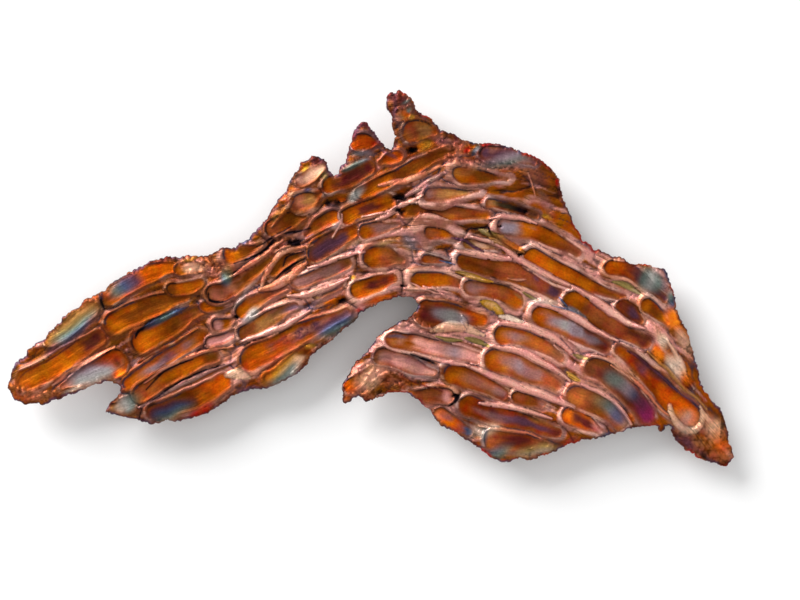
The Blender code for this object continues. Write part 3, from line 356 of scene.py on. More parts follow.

# %% [markdown]
# ## Strands, holes and crumbs
# Between the lobes the copper runs on in thin strands, like threads of wax. Here and there a hole goes
# down between two lobes, darkened inside as painted shade, and some stretches are crumbly where
# crystals broke off.

# %% Strands, with their half width, height and tone
STRANDS = [
    (((-85, -22.3), (-93, -26.5), (-99, -30.5), (-105, -35)), 0.8, 0.3, "coral"),
    (((-77, -27), (-68, -21.8), (-57, -16.5)), 0.6, 0.5, "rust"),
    (((-76, -42.5), (-66, -37), (-55, -31.5), (-45, -27)), 0.8, 0.4, "mauve"),
    (((-75, -34.5), (-66, -28.5), (-56, -23.5), (-45, -21.5)), 0.7, 0.4, "coral"),
    (((-48, -32.5), (-43.5, -31.5), (-40, -32.5)), 1.8, 0.2, "peach"),
    (((-42.5, -20.2), (-34, -17.2), (-27, -14.6), (-20, -10)), 1.1, 0.8, "salmon"),
    (((-45, 2.5), (-38, 6.8), (-28.5, 12.8)), 1.0, 0.5, "coral"),
    (((-35.7, -3.3), (-34.2, 2), (-30.5, 7.4), (-25.5, 10.8), (-19.5, 12.2)), 0.9, 0.4, "coral"),
    (((-36, -3.4), (-31, -2.0), (-26, 1.8), (-21, 6)), 1.8, 0.6, "coral"),
    (((-31, 9.3), (-22, 13.8), (-10.5, 19.5)), 0.5, 0.6, "rust"),
    (((-27, -5.8), (-17, -3.2), (-7, 1)), 1.2, 1.1, "salmon"),
    (((-20, 4.5), (-10, 7.8), (-2, 9.5)), 0.8, 0.5, "salmon"),
    (((-32.5, 17.5), (-28.5, 22.5), (-25.5, 27.5)), 0.9, 0.7, "rust"),
    (((2, 19.6), (10, 24.6), (17, 28.5)), 0.9, 0.6, "salmon"),
    (((3, 31.5), (12, 33.2), (26, 37.5)), 0.9, 0.4, "coral"),
    (((9, 26.5), (17, 31.5), (26, 35)), 1.0, 0.4, "mauve"),
    (((40, 20), (49, 21.2), (55, 19.2)), 0.8, 0.9, "salmon"),
    (((34, 14.7), (43, 12), (51, 6), (60, 1.5), (67, -2)), 1.2, 1.1, "salmon"),
    (((29, 10), (38, 8.6), (47, 7.2)), 1.3, 0.8, "salmon"),
    (((67, -2), (75, -7), (84, -13), (91, -15.6)), 1.3, 1.2, "salmon"),
    (((55, -7), (64, -9.5), (72, -14.5), (82, -20.5)), 1.5, 1.0, "salmon"),
    (((43, -14.2), (53, -15.5), (62, -20), (68, -25.5)), 1.5, 1.0, "salmon"),
    (((41, -21.5), (50, -24), (58, -28), (66, -33)), 1.3, 1.1, "salmon"),
    (((32, -28.5), (44, -33), (55, -37), (68, -42)), 1.4, 1.1, "salmon"),
    (((14, -23.8), (24, -26.7), (33, -28.5)), 0.8, 0.8, "salmon"),
    (((36, -40.5), (47, -41.8), (60, -45.5)), 1.0, 0.7, "salmon"),
    (((36, -48.7), (47, -50.3), (57, -52.5)), 0.7, 0.7, "coral"),
    (((70, -34), (77, -38), (83, -43), (87, -48)), 0.9, 0.9, "salmon"),
    (((80, -29), (88, -34), (95, -40), (101, -46)), 0.7, 0.6, "coral"),
    (((99, -20), (103, -27), (108, -36)), 0.7, 0.4, "peach"),
    (((92, -24), (100, -30.5), (106, -37), (112, -43)), 0.7, 0.6, "tan"),
    (((100, -41.5), (100.9, -46), (103.6, -49.3), (106.8, -50.2), (109.8, -48.7), (110.6, -45.5),
      (109.4, -42.5)), 1.2, 0.5, "peach"),
    (((52, 35.5), (53.3, 31.5), (54.3, 28)), 0.2, 0.2, "coral"),
]
print("strands:", len(STRANDS))

# %% [markdown]
# ## Blades, flakes and needles
# In some gaps between the lobes lies a flat blade, gold or olive where its oxide is thin. A few torn
# flakes and thin needles of bare copper lie across the lobes.

# %% Add the blades, flakes and needles to the strands
STRANDS += [
    (((39, 15.6), (45, 12.8), (51, 9.5)), 1.6, 0.05, "tan"),
    (((36.4, 17), (39, 16), (42.5, 14.2)), 1.0, 0.1, "olive"),
    (((28.5, 2.5), (34.5, 1.1), (40.5, -0.4)), 0.8, 0.1, "gold"),
    (((51.5, -3.5), (54, -4.6), (56.5, -6.2)), 0.5, 0.1, "olive"),
    (((36.5, -7.2), (40, -9), (44.5, -12.1)), 1.4, 0.1, "gold"),
    (((43, -12.3), (47, -12.9), (51, -13.8)), 0.9, 0.1, "cream"),
    (((22.5, -18.4), (26, -19.6), (30, -20.3)), 0.7, 0.0, "olive"),
    (((31.2, -19.4), (35, -20.4), (39.6, -22)), 0.9, 0.0, "olive"),
    (((67, -24.3), (69.5, -25.3), (72, -26.3)), 0.8, 0.0, "olive"),
    (((65.3, -30.6), (67, -31.8), (69.3, -32.8)), 0.9, 0.0, "gold"),
    (((20.5, -16.6), (26, -15.2), (30, -15.6), (37.5, -18.4)), 1.8, 0.3, "peach"),
    (((30, -11.6), (30.8, -13.8), (31.6, -16)), 0.7, 0.5, "peach"),
    (((13.5, -0.9), (18, -2.9), (25.5, -5.6)), 0.2, 0.4, "salmon"),
    (((18, -1.9), (23, -3.9), (27, -4.4)), 0.2, 0.4, "salmon"),
    (((46.3, 0.8), (49, 0.2), (51.6, 0.3)), 0.2, 0.3, "coral"),
    (((-9.3, 21.9), (-9.7, 18.5), (-12, 14.6)), 0.25, 0.7, "salmon"),
    (((-2, 20.6), (5, 22.6), (9, 24.8)), 0.25, 0.5, "salmon"),
    (((80.5, -0.2), (85, -2), (89.5, -4.6)), 0.9, 0.1, "olive"),
]
print("strands with blades, flakes and needles:", len(STRANDS))

# %% [markdown]
# ## Cracks
# Thin dark cracks run beside many lobes, where the copper folded over itself. They are drawn just as
# the strands are, but in a dark tone, and so low that they leave the height as it is: the dark tone is
# painted shade, partly tinted like the oxide, and at this width the eye reads the dark line alone as a gap.

# %% Add the cracks to the strands
# painted shade: dark lines, partly tinted like the oxide, that stand in for gaps
CRACKS = [
    (((-115.5, -36.5), (-116.5, -33.5), (-113.5, -30.5), (-108, -27.5), (-102.5, -24.2),
     (-96.5, -19.6)), 0.2, "maroon"), (((-89.8, -4.8), (-88.8, -7.5), (-87.6, -9.9)), 0.35, "dark"),
    (((-77.9, -19.6), (-76.2, -16.7), (-70.5, -12.7), (-60.3, -9.3)), 0.4, "dark"),
    (((-74.5, -36.6), (-70.5, -32.6), (-64.8, -28.7), (-59.1, -26.3)), 0.35, "dark"),
    (((-72.3, -40.6), (-64.8, -35.5), (-56.3, -30.9), (-48.3, -28)), 0.3, "dark"),
    (((-53.5, -4.8), (-52.9, -7), (-49.5, -7), (-45.5, -5.3)), 0.3, "dark"),
    (((-31, 0.4), (-27.2, 4.2), (-22, 7.6)), 0.35, "dark"),
    (((-28.6, 4.6), (-27, 7.8), (-22.4, 10)), 0.25, "dark"),
    (((27.6, 14.5), (32.4, 13), (37.8, 9.7)), 0.5, "purple"),
    (((31.8, 16.9), (39, 17.5), (40.8, 15), (49.2, 9.7)), 0.3, "dark"),
    (((24, 6.6), (26, 6), (28.2, 5.1)), 0.3, "blue"), (((63.5, -5.5), (65, -7.5), (66, -9)), 0.3, "blue"),
    (((61, -8), (66, -9.8), (72, -12.5)), 0.22, "blue"),
    (((27.6, -37.6), (28.8, -39.4), (26.3, -42.4)), 0.5, "dark"),
    (((8.9, -30.4), (15.5, -33.4), (24, -37)), 0.2, "maroon"),
    (((13.1, -24.4), (17, -25.8), (21.6, -27.4)), 0.35, "dark"),
    (((1.7, -29.2), (2.3, -33.4), (1.1, -35.8)), 0.28, "dark"),
    (((84.9, -24.3), (91.4, -28), (100.8, -35.5), (109.3, -43)), 0.4, "purple"),
    (((-45, 6), (-37, 9), (-29, 14.5), (-20, 17.5)), 0.4, "dark"),
    (((-38, 11.5), (-31, 14.5), (-26, 17.5)), 0.3, "dark"),
]
CRACK_HEIGHT = -0.45
STRANDS += [(points, width, CRACK_HEIGHT, tone) for points, width, tone in CRACKS]
print("cracks:", len(CRACKS))

# %% Holes and crumbly stretches
HOLES = [
    ((9.4, 27.3), 1.9, 1.9), ((9.4, 22.7), 1.8, 1.9), ((43.6, 17.6), 0.5, 0.8),
    ((13.5, 43), 1.3, 1.4), ((-44.8, -12.2), 0.9, 1.2), ((-13.5, 25.5), 0.9, 0.8),
    ((-10.2, 25.8), 0.8, 0.8), ((-25, 12.6), 1.6, 1.3), ((-8.5, -6.5), 1.1, 1.2),
    ((11.2, -2), 0.8, 1.2), ((50, 8.6), 0.9, 1.1), ((50.5, 23), 0.7, 0.9), ((28.3, -38.8), 0.9, 1.2),
]
CRUMBS = [
    (((-61, 5.5), (-50, 4)), 3.6, 0.8), (((-42.5, 2.6), (-28, 12.6)), 1.1, 0.45),
    (((-112, -39.5), (-104, -38)), 1.4, 0.4), (((27, 40), (35, 38.5), (48, 38)), 1.8, 0.8),
    (((24, 46), (32, 43)), 2.2, 0.7), (((100, -18), (103, -24), (106, -34)), 2.0, 0.2),
    (((112, -50), (119, -59)), 4.5, 0.5), (((104, -51), (111, -58)), 2.6, 0.7),
    (((-118, -37), (-108, -39)), 2.5, 0.5), (((7, 57), (11, 61)), 4.0, 0.7),
    (((-30, 14), (-22, 12)), 1.6, 0.5), (((-19, -16), (-27, -20)), 1.2, 0.6),
    (((0, -37), (-6, -38)), 2.0, 0.6), (((-3, -30), (10, -33)), 3.4, 0.6),
    (((20, -16.2), (30, -16.4)), 1.4, 0.5), (((15, -13.5), (19, -16)), 1.5, 0.6),
]
print("holes:", len(HOLES), "crumbly stretches:", len(CRUMBS))

# %% [markdown]
# ## Stains and painted highlights
# Where the oxide film is at its thinnest, it shows small clouds of colour that don't follow the
# lobes. Each is an oval with a place, a half length and half width, a turn in degrees, its tones and a
# strength. Several tones follow one another along the oval's length, as the film grows thicker. A few
# of them are painted highlights instead, where a fold catches the light; these are marked where they stand.

# %% Stains and painted highlights on the left
STAINS_AND_HIGHLIGHTS = [
    (-98.5, -15.2, 5.2, 11, -53, "tan tan olive teal blue purple", 0.95),
    (-106, -23.2, 4, 1.6, 37, "purple maroon", 0.7),
    (-80.2, -1.0, 8.5, 3.6, 36, "maroon teal blue purple orange orange", 0.95),
    (-71, 3.6, 6, 1.6, 20, "orange", 0.7), (-60, 4.6, 3, 1.6, 10, "peach", 0.5),
    (-60, 7, 3, 0.7, 10, "gold", 0.7), (-93, -31.5, 4.2, 9, -70, "purple lilac grey cream", 0.9),
    (-84.5, -27.5, 2.6, 1.8, 40, "ember maroon red", 0.8),
    # the first of the next two, the orange and flame spot at the notch, is partly a painted highlight
    (-83.6, -30.6, 3, 1.7, 20, "orange flame orange", 1), (-111, -38.8, 7, 1.8, 8, "orange coral tan", 0.6),
    (-112, -31.6, 8, 2.4, 33, "gold amber", 0.35), (-118, -33.5, 2.4, 5, -10, "tan orange", 0.5),
    (-98, -37, 4, 0.7, 18, "cream", 0.8), (-68.5, -12.9, 9.5, 1.2, 27, "dark blue teal blue dark", 0.9),
    (-66, -43.3, 3.2, 8, -68, "amber purple blue teal olive", 0.9), (-56.2, -43.4, 5, 1.7, 30, "red", 0.95),
    (-79.5, -41, 5.4, 3.4, 30, "maroon grey teal olive", 0.85),
    (-70, -27.5, 8, 1.1, 35, "amber lilac purple orange", 0.7),
    (-47.6, 1.6, 3.6, 2.6, 60, "blue teal olive", 0.9),
    # the first of the next two, the lilac and grey patch, is partly grey oxide and partly a painted
    # reflection
    (-39, -11.2, 4.6, 2.0, 35, "lilac grey grey teal", 0.8), (-42.5, -5.6, 5, 1.1, 52, "teal lilac", 0.5),
    (-26, -9.8, 5, 0.9, 22, "purple blue", 0.6), (-50, -33.5, 2, 1.6, 30, "orange", 0.7),
    (-46, -24, 5, 2.6, 20, "salmon mauve", 0.5),
    (-29, -30.5, 4.6, 8, -55, "amber orange gold teal grey cream", 0.9),
    (-31, -25, 4, 9, -60, "orange ember purple", 0.7),
    (-11, -14.6, 3.8, 8, -60, "amber purple blue teal grey", 0.95),
    (-19.5, -22.6, 1.6, 1.0, 30, "gold", 0.7), (-40, -28.5, 2.6, 2.6, 0, "red orange", 0.6),
]
print("stains so far:", len(STAINS_AND_HIGHLIGHTS))

# %% Stains on the spires and the neck
STAINS_AND_HIGHLIGHTS += [
    (-21.3, 29.9, 1.7, 0.8, 10, "purple blue", 0.95), (-15, 34, 1.4, 1.4, 0, "olive", 0.7),
    (-22.3, 37, 1.6, 0.8, 40, "gold", 0.9), (-17.8, 39.8, 4.4, 2.2, -12, "purple maroon purple", 0.95),
    (-4.6, 47.6, 2.4, 1.3, 70, "purple maroon", 0.8), (-4.6, 37.9, 6, 1.0, 26, "teal teal blue", 0.8),
    (-1.5, 41.4, 5, 1.2, 8, "teal lilac purple", 0.75),
    (-4.6, 28.3, 4.6, 1.9, 50, "teal grey grey lilac", 0.9), (-5, 1, 1.3, 0.9, 20, "gold", 0.9),
    (6, 41.6, 4, 0.7, -40, "purple", 0.7), (-30, 22, 4, 1.2, 52, "olive amber", 0.5),
    (-4, 12.5, 2, 1, 20, "olive", 0.4), (-17, -3, 7, 1.8, 26, "tan mauve brown", 0.5),
    (-11, 25.6, 4.5, 1.8, 12, "dark", 0.9), (-9.3, 26.9, 1.2, 0.8, 0, "orange", 0.95),
    (3.4, -6.7, 7.5, 1.5, 14, "ember orange ember", 0.95), (-3.6, -10, 1.3, 0.9, 0, "red", 0.8),
    (-20, -8, 6, 1.4, 28, "brown blue mauve", 0.5), (13.8, 54.2, 1.4, 1.0, 40, "gold", 0.9),
    (17.6, 44.4, 4.6, 1.8, 17, "orange flame gold orange", 0.95),
    (8.9, 60.3, 4.8, 2.6, -18, "purple maroon purple", 0.9), (-1.5, 51, 2, 1.6, 0, "purple dark", 0.8),
    (7.4, 56.5, 5, 1.0, 78, "purple", 0.7), (8.3, 47, 3, 1.1, 90, "purple maroon", 0.85),
    (17, 55.2, 3.4, 1.0, -42, "maroon purple", 0.8), (12, 59.6, 2.2, 0.6, 25, "teal", 0.7),
    (9.2, 54.2, 1.6, 1.3, 0, "mauve", 0.6), (32.9, 44.2, 1.9, 1.0, 60, "red", 0.95),
    (35.2, 43.6, 2.4, 1.0, 70, "blue teal", 0.8), (24, 46.5, 5, 1.6, -20, "coral purple mauve", 0.6),
]
print("stains so far:", len(STAINS_AND_HIGHLIGHTS))

# %% Stains on the face and the lower right part
STAINS_AND_HIGHLIGHTS += [
    (46, 40.8, 4, 10, -76, "maroon purple lilac teal mauve", 0.8),
    (47, 44.3, 7, 0.9, -12, "purple red", 0.6), (48.5, 23.6, 8, 0.9, -12, "olive dark purple", 0.6),
    (59, 20.6, 2.4, 0.8, -20, "gold", 0.8), (54, 35, 7, 3.5, -40, "mauve purple", 0.5),
    (58, 25, 6, 2, -60, "mauve", 0.5), (31, 36, 6, 1.6, 20, "tan", 0.4), (62.5, 33, 0.9, 3, 0, "red", 0.8),
    (13, 12.8, 4.5, 3.4, 30, "tan lilac mauve", 0.8), (6, 12.4, 4.5, 1.4, 15, "olive tan", 0.6),
    (47.5, 17, 4, 1.4, -15, "lilac lilac tan", 0.7),
    (45.5, 12.4, 7, 1.5, -26, "gold tan orange amber", 0.7), (50, -5, 3, 0.7, -30, "olive", 0.5),
    (9, -18.6, 4, 0.9, -8, "blue", 0.6), (27, -11.8, 8.5, 2.4, -14, "maroon lilac grey lilac ember", 0.9),
    (48, -27.8, 7, 2.2, -22, "amber mauve lilac mauve", 0.8),
    (64, -14.5, 6.5, 2.3, -28, "amber lilac grey lilac maroon", 0.85),
    (59, -6.8, 6, 1.4, -8, "grey cream", 0.6), (68, -10.5, 5, 0.7, -28, "blue grey", 0.7),
    (12, -26, 8, 1.2, -14, "mauve purple mauve", 0.4),
    (28, -24, 9, 2.4, -14, "purple mauve lilac salmon salmon", 0.7),
    (0, -32.5, 6.5, 3.6, 40, "coral peach peach coral", 0.55),
    (-7.2, -39.4, 2.4, 1.5, 0, "orange maroon", 0.8), (42, -45.2, 9, 1.5, -18, "lilac mauve purple", 0.6),
    (49, -19.4, 6, 1.7, -14, "amber lilac rust", 0.6), (35, -33.6, 8, 1.9, -20, "rust mauve mauve", 0.5),
    (57, -47.5, 4, 1.4, -20, "olive amber", 0.5), (39, -49.8, 3.4, 6, -75, "peach cream olive", 0.6),
    (56, -56.3, 2.6, 10, -80, "maroon olive grey", 0.8), (42, -57.2, 2.4, 6, -65, "blue teal olive", 0.8),
    (38, -51.5, 1.6, 3.4, 0, "teal blue", 0.6), (44, -59.4, 5, 0.9, -8, "red", 0.6),
    (66, -53.3, 4, 1.2, 25, "red purple", 0.6), (16.5, -40.3, 2.4, 1.8, -30, "purple", 0.7),
    (76.5, -50.5, 2.4, 1.2, -30, "red grey", 0.7), (25.5, -46, 3, 1.4, -35, "orange blue", 0.7),
]
print("stains so far:", len(STAINS_AND_HIGHLIGHTS))

# %% Stains and painted highlights on the right end
STAINS_AND_HIGHLIGHTS += [
    (79.5, -43.5, 8, 2.7, -38, "amber olive teal blue blue grey", 0.9),
    (86.5, -46, 3, 1.0, -60, "orange", 0.8),
    (84, -35.5, 8.5, 3.0, -43, "brown teal teal lilac blue purple", 0.9),
    (92, -43, 5, 3.4, -48, "purple magenta magenta", 0.95),
    (95, -47, 2.6, 2.0, -45, "magenta ember orange", 0.8),
    (94, -31, 8, 1.0, -42, "purple maroon purple", 0.7),
    (93.5, 0.2, 6, 5, -15, "purple teal grey teal blue", 0.95),
    (86.5, 3.4, 3.5, 3, -20, "ember maroon purple", 0.8),
    (100.5, -6.5, 4, 2, -70, "grey teal blue purple", 0.9),
    # from here to the patch at (106, -33.4): partly bright oxide, partly painted highlights where the
    # tail's flank folds and catches the light
    (101, -12.8, 4.8, 3.2, -62, "orange flame flame orange", 1),
    (97, -20, 5, 1.8, -63, "tan cream tan", 0.9), (104.3, -21.5, 7, 2.4, -67, "coral peach coral", 0.9),
    (101.5, -28.5, 5, 2.0, -57, "peach cream peach", 0.9),
    (95.8, -24.4, 4.6, 2.2, -55, "orange flame flame orange", 1),
    (106, -33.4, 4, 2.2, -60, "flame orange ember blue", 0.95), (92.8, -18.6, 2.4, 1.6, -50, "maroon", 0.8),
    (104, -44.5, 3.2, 3.0, -45, "orange amber grey", 0.6),
    (105.5, -54.5, 6, 2.6, -48, "maroon purple maroon", 0.8),
    (116, -52, 9, 3.6, -62, "coral peach orange tan", 0.9),
    (112.5, -59, 4.5, 1.3, -33, "purple dark blue", 0.8),
    (89.5, -29, 6.5, 2.0, -48, "ember maroon purple ember", 0.8), (64, -32, 24, 12, -25, "salmon", 0.12),
    (105.2, -47.5, 6.5, 4.4, -10, "tan grey tan", 0.4), (99, -38.5, 5, 2.4, -50, "orange", 0.6),
    (112, -46, 3, 1, -50, "peach", 0.6), (90.5, -8.5, 3, 2, -50, "amber brown", 0.5),
]
print("stains in all:", len(STAINS_AND_HIGHLIGHTS))

# %% [markdown]
# ## Measuring from a line
# Every lobe and strand is a line with a width. Three helpers do the geometry: one draws a smooth
# curve through a few points, one shortens a line, because a round end's centre lies inside its tip,
# and one finds how far a place on the sheet is from the line, and on which side. A lobe's floor goes
# over from its head's width to its tail's, and the slimmer its tail is, the more it comes to a point.

# %% Helpers for lines
def smoothstep(low, high, value):
    """0 at low, 1 at high, and a smooth rise between them."""
    share = np.clip((value - low) / (high - low), 0, 1)
    return share * share * (3 - 2 * share)


def smooth_line(points, steps=4):
    """A smooth curve through all the points, with this many steps between each two."""
    knots = np.array([points[0], *points, points[-1]], float)
    share = np.linspace(0, 1, steps, endpoint=False)[:, None]
    spans = []
    for a, b, c, d in zip(knots, knots[1:], knots[2:], knots[3:]):
        square = (2 * a - 5 * b + 4 * c - d) * share**2
        cube = (3 * b - a - 3 * c + d) * share**3
        spans.append(0.5 * (2 * b + (c - a) * share + square + cube))
    return np.vstack([*spans, knots[-1:]])


def shortened(line, first, last):
    """The line without its first and last lengths, where the round ends' centres are."""
    along = lengths_along(line)
    return points_at(np.linspace(first, along[-1] - last, len(line)), along, line)


def measure(line, x, y):
    """Distance from the line, share along it, and side: above or left of it is positive."""
    best, share, side = np.full(len(x), np.inf), np.zeros(len(x)), np.zeros(len(x))
    for i, (a, b) in enumerate(zip(line, line[1:])):
        run = b - a
        t = np.clip(((x - a[0]) * run[0] + (y - a[1]) * run[1]) / (run @ run + 1e-12), 0, 1)
        dx, dy = x - a[0] - t * run[0], y - a[1] - t * run[1]
        far = np.hypot(dx, dy)
        closer = far < best
        best[closer], share[closer] = far[closer], (i + t[closer]) / (len(line) - 1)
        cross = (run[0] * dy - run[1] * dx) / (np.linalg.norm(run) + 1e-12)
        side[closer] = cross[closer]
    return best, share, side


def close_to(line, x, y, reach):
    """Which points are inside the line's box, widened by reach."""
    low, high = line.min(0) - reach, line.max(0) + reach
    return np.flatnonzero((x > low[0]) & (x < high[0]) & (y > low[1]) & (y < high[1]))


def pointed(number):
    """How far the tail comes to a point: the narrower it is beside the head, the more."""
    _, head, tail, _, _ = LOBES[number]
    return min(max(1.4 - tail / head, 0.15), 0.9)


def half_width(number, share):
    """The floor's half width at each share of the way along it."""
    _, head, tail, _, _ = LOBES[number]
    even = head + (tail - head) * smoothstep(0, 1, share)
    return even * (1 - pointed(number) * 0.8 * smoothstep(0.45, 1.0, share) ** 1.3)


LOBE_LINES = [shortened(smooth_line(lobe[0]), lobe[1], lobe[2] * (1 - 0.8 * pointed(number)))
              for number, lobe in enumerate(LOBES)]
LOBE_LENGTHS = [lengths_along(line)[-1] for line in LOBE_LINES]
print("longest lobe floor:", round(max(LOBE_LENGTHS), 1))

# %% [markdown]
# ## The way the copper runs
# The copper set in threads that run the way the lobes lie, as hair lies when it is combed. The
# direction at any place is the mean of the directions of the lobes near it. Random noise is then
# combed: it is averaged along that direction, which draws it out into strands.

# %% Find the direction and comb noise along it
FLOW_STEP = 1.5
FLOW_LOW = edge_line.min(0) - 4
flow_columns, flow_rows = np.ceil((edge_line.max(0) + 4 - FLOW_LOW) / FLOW_STEP).astype(int)


def find_flow():
    """Unit directions on a coarse grid. Angles are doubled while averaged: a line has no front or back."""
    gx, gy = np.meshgrid(FLOW_LOW[0] + FLOW_STEP * np.arange(flow_columns),
                         FLOW_LOW[1] + FLOW_STEP * np.arange(flow_rows))
    x, y = gx.ravel(), gy.ravel()
    double = np.zeros((len(x), 2))
    for lobe, line in zip(LOBES, LOBE_LINES):
        far, share, _ = measure(line, x, y)
        run = np.diff(line, axis=0)[np.minimum((share * (len(line) - 1)).astype(int), len(line) - 2)]
        turn = 2 * np.arctan2(run[:, 1], run[:, 0])
        weight = np.exp(-((np.maximum(far - 2, 0) / 4.5) ** 1.3)) + 1e-6 / (1 + far)
        double += np.column_stack([np.cos(turn), np.sin(turn)]) * weight[:, None]
    turn = np.arctan2(double[:, 1], double[:, 0]) / 2
    return np.cos(turn).reshape(gx.shape), np.sin(turn).reshape(gx.shape)


flow_x, flow_y = find_flow()


def combed(x, y, width, length, seed):
    """Noise in strands of about this width and length, mostly between -1 and 1."""
    total, count = wobble(x, y, width, seed), 1
    for way in (1, -1):
        px, py = x.copy(), y.copy()
        for _ in range(max(2, round(length / width))):
            i = np.clip(((py - FLOW_LOW[1]) / FLOW_STEP + 0.5).astype(int), 0, flow_rows - 1)
            j = np.clip(((px - FLOW_LOW[0]) / FLOW_STEP + 0.5).astype(int), 0, flow_columns - 1)
            px, py = px + way * flow_x[i, j] * width / 2, py + way * flow_y[i, j] * width / 2
            total, count = total + wobble(px, py, width, seed), count + 1
    return total / math.sqrt(count) * 1.1


print("directions found:", flow_x.size)

# %% [markdown]
# ## Carving and staining in one pass
# The face could be sculpted by hand, or displaced by a painted picture. Here it is worked out in
# code: for any set of places on the sheet, one function gives the height, the colour and how rough
# the metal is. A lobe's rim slopes on outwards until it meets the next lobe's, in a thin seam that is
# grooved and darkened as painted shade.

# %% How a lobe rises
GROUND_LEVEL, FLOOR_LEVEL, FLOOR_DISH = -0.4, -0.38, 0.3
RIM_HEIGHT, HEAD_LIFT = 0.6, 0.35


def blend(low, high, share):
    """A mix of two colours, or of arrays of them."""
    share = np.asarray(share)[..., None]
    return low * (1 - share) + high * share


def lobe_places(number, x, y):
    """How far outside of the floor, share along it, half width, rim width, and side, positive above."""
    line = LOBE_LINES[number]
    far, share, side = measure(line, x, y)
    half = half_width(number, share)
    upper = side * np.sign(line[-1][0] - line[0][0])
    lean = 0.3 * math.sin(2.4 * number) * np.clip(upper / half, -1, 1)
    uneven = 0.9 + 0.3 * wobble(x, y, 5.0, 31) + 0.22 * math.sin(5.1 * number) + lean
    rim = LOBES[number][3] * (1.15 - 0.6 * share) * np.maximum(uneven, 0.35)
    return far - half, share, half, rim, upper


def softness(x, y, share, half, upper):
    """How softly the floor runs into its rim: most at the open tail, and here and there lower down."""
    aside = wobble(x, y, 8, 46) - 0.4 * np.clip(upper / half, -1, 1)
    lower = 0.85 * smoothstep(-0.05, 0.6, aside) * smoothstep(0.02, 0.2, share)
    return np.maximum(smoothstep(0.6, 1.0, share), lower)


def lobe_height(outside, share, half, rim, soft):
    """A dished floor and a round rim that slopes on outwards, high at the head and low at the tail."""
    inward = np.clip(-outside / half, 0, 1)
    floor = FLOOR_LEVEL + FLOOR_DISH * (1 - inward) ** 2.5
    across = np.maximum(outside / rim, 0)
    crest = RIM_HEIGHT * (0.5 + 0.25 * np.minimum(rim, 2)) * (1 - 0.25 * share - 0.45 * soft)
    rise = np.sin(math.pi * np.clip(across, 0, 0.5)) ** 0.7
    fall = 1 / (1 + (np.maximum(across - 0.5, 0) / 0.85) ** 2)
    edge = FLOOR_LEVEL + FLOOR_DISH
    round_rim = edge + (crest - edge) * rise * fall - 0.25 * smoothstep(0.6, 2.2, across)
    return np.where(outside < 0, floor, round_rim) + HEAD_LIFT * (1 - share) ** 1.5


print("a rim stands about", RIM_HEIGHT - FLOOR_LEVEL, "mm above its floor")

# %% [markdown]
# ## What colour a lobe has
# The floor is darkest and most coloured in its middle, and amber towards its border, where it is also
# darkened as painted shade at the foot of the rim. The oxide thins out over the rim, from orange to
# bare pink copper, and the rim's outer slope turns darker and mauve, partly oxide and partly painted
# shade. A thin dark line of painted shade sits where the floor meets the rim, mostly on the upper side.

# %% How a lobe is coloured
def bareness(x, y):
    """How bare the ridges are: most in the middle and on the right, least in the arm's tip and spires."""
    return np.exp(-(((x - 38) / 66) ** 2 + ((y + 14) / 36) ** 2) ** 2)


def shade_line_tone(x, y):
    """The tone of the thin lines of painted shade in creases, seams and grooves: nearly black, and dark
    blue in places.
    """
    return blend(COLOUR["dark"], COLOUR["blue"] * 0.35, smoothstep(0, 0.5, wobble(x, y, 6, 33)))


def floor_colour(names, x, y, outside, share, half, grain, ribbon):
    """The floor's tones from head to tail, with an ember ring between the warm and the cool ones."""
    head, middle, tail = (COLOUR[name] for name in names[:3])
    cool = [COOLNESS.get(name, 0) for name in names]
    along = np.clip(share + 0.2 * wobble(x, y, 3.5, 32) + 0.05 * grain, 0, 1)
    inward = np.clip(-outside / half + 0.16 * wobble(x, y, 2.2, 37), 0, 1)
    first, last = smoothstep(0.0, 0.4, along), smoothstep(0.6, 1.0, along)
    # a cool middle is an oval within the warm floor
    middle_share = smoothstep(0.0, 0.8, inward) if cool[1] > max(cool[0], cool[2]) else 1
    tone = blend(blend(head, middle, first * middle_share), tail, last)
    coolness = (cool[0] + (cool[1] - cool[0]) * first * middle_share) * (1 - last) + cool[2] * last
    step = max(cool) - min(cool)
    ring = step * np.exp(-(((coolness - min(cool)) / max(step, 0.1) - 0.45) / 0.3) ** 2)
    tone = blend(tone, COLOUR["ember"], 0.35 * ring)
    # the border is darker: partly amber oxide, partly painted shade at the foot of the rim
    border = blend(tone * np.array([0.72, 0.6, 0.6]), COLOUR["amber"] * 0.75, 0.5)
    floor = blend(border, tone, smoothstep(0.05, 0.7, inward))
    return floor * (0.96 + 0.06 * grain + 0.35 * wobble(x, y, 6, 44) + 0.1 * ribbon)[:, None]


def rim_colour(tone, x, y, across, grain, ribbon):
    """The rim's tone: drifting to lilac and coral, rusty in the left arm, pale where bare, and darker,
    partly as painted shade, down its outer slope.
    """
    drift = wobble(x, y, 9, 45)
    tone = blend(tone, COLOUR["lilac"] * 1.15, 0.4 * smoothstep(0.0, 0.5, drift))
    tone = blend(tone, COLOUR["coral"], 0.35 * smoothstep(0.1, 0.5, -drift))
    tone = blend(tone, COLOUR["rust"], 0.75 * smoothstep(-50, -75, x))
    pale = smoothstep(-0.5, 0.5, ribbon + 0.4 * grain + bareness(x, y) - 0.6)
    bare = blend(blend(tone, COLOUR["brown"], 0.5) * 0.8, blend(tone, COLOUR["cream"], 0.25), pale)
    bare = blend(blend(COLOUR["rust"], tone, 0.3) * 0.85, bare, smoothstep(0.0, 0.3, across))
    # down the outer slope the rim goes mauve and darker: partly oxide, partly painted shade on the flank
    return blend(bare, blend(COLOUR["mauve"], tone, 0.5) * 0.8, 0.6 * smoothstep(0.8, 2.0, across))


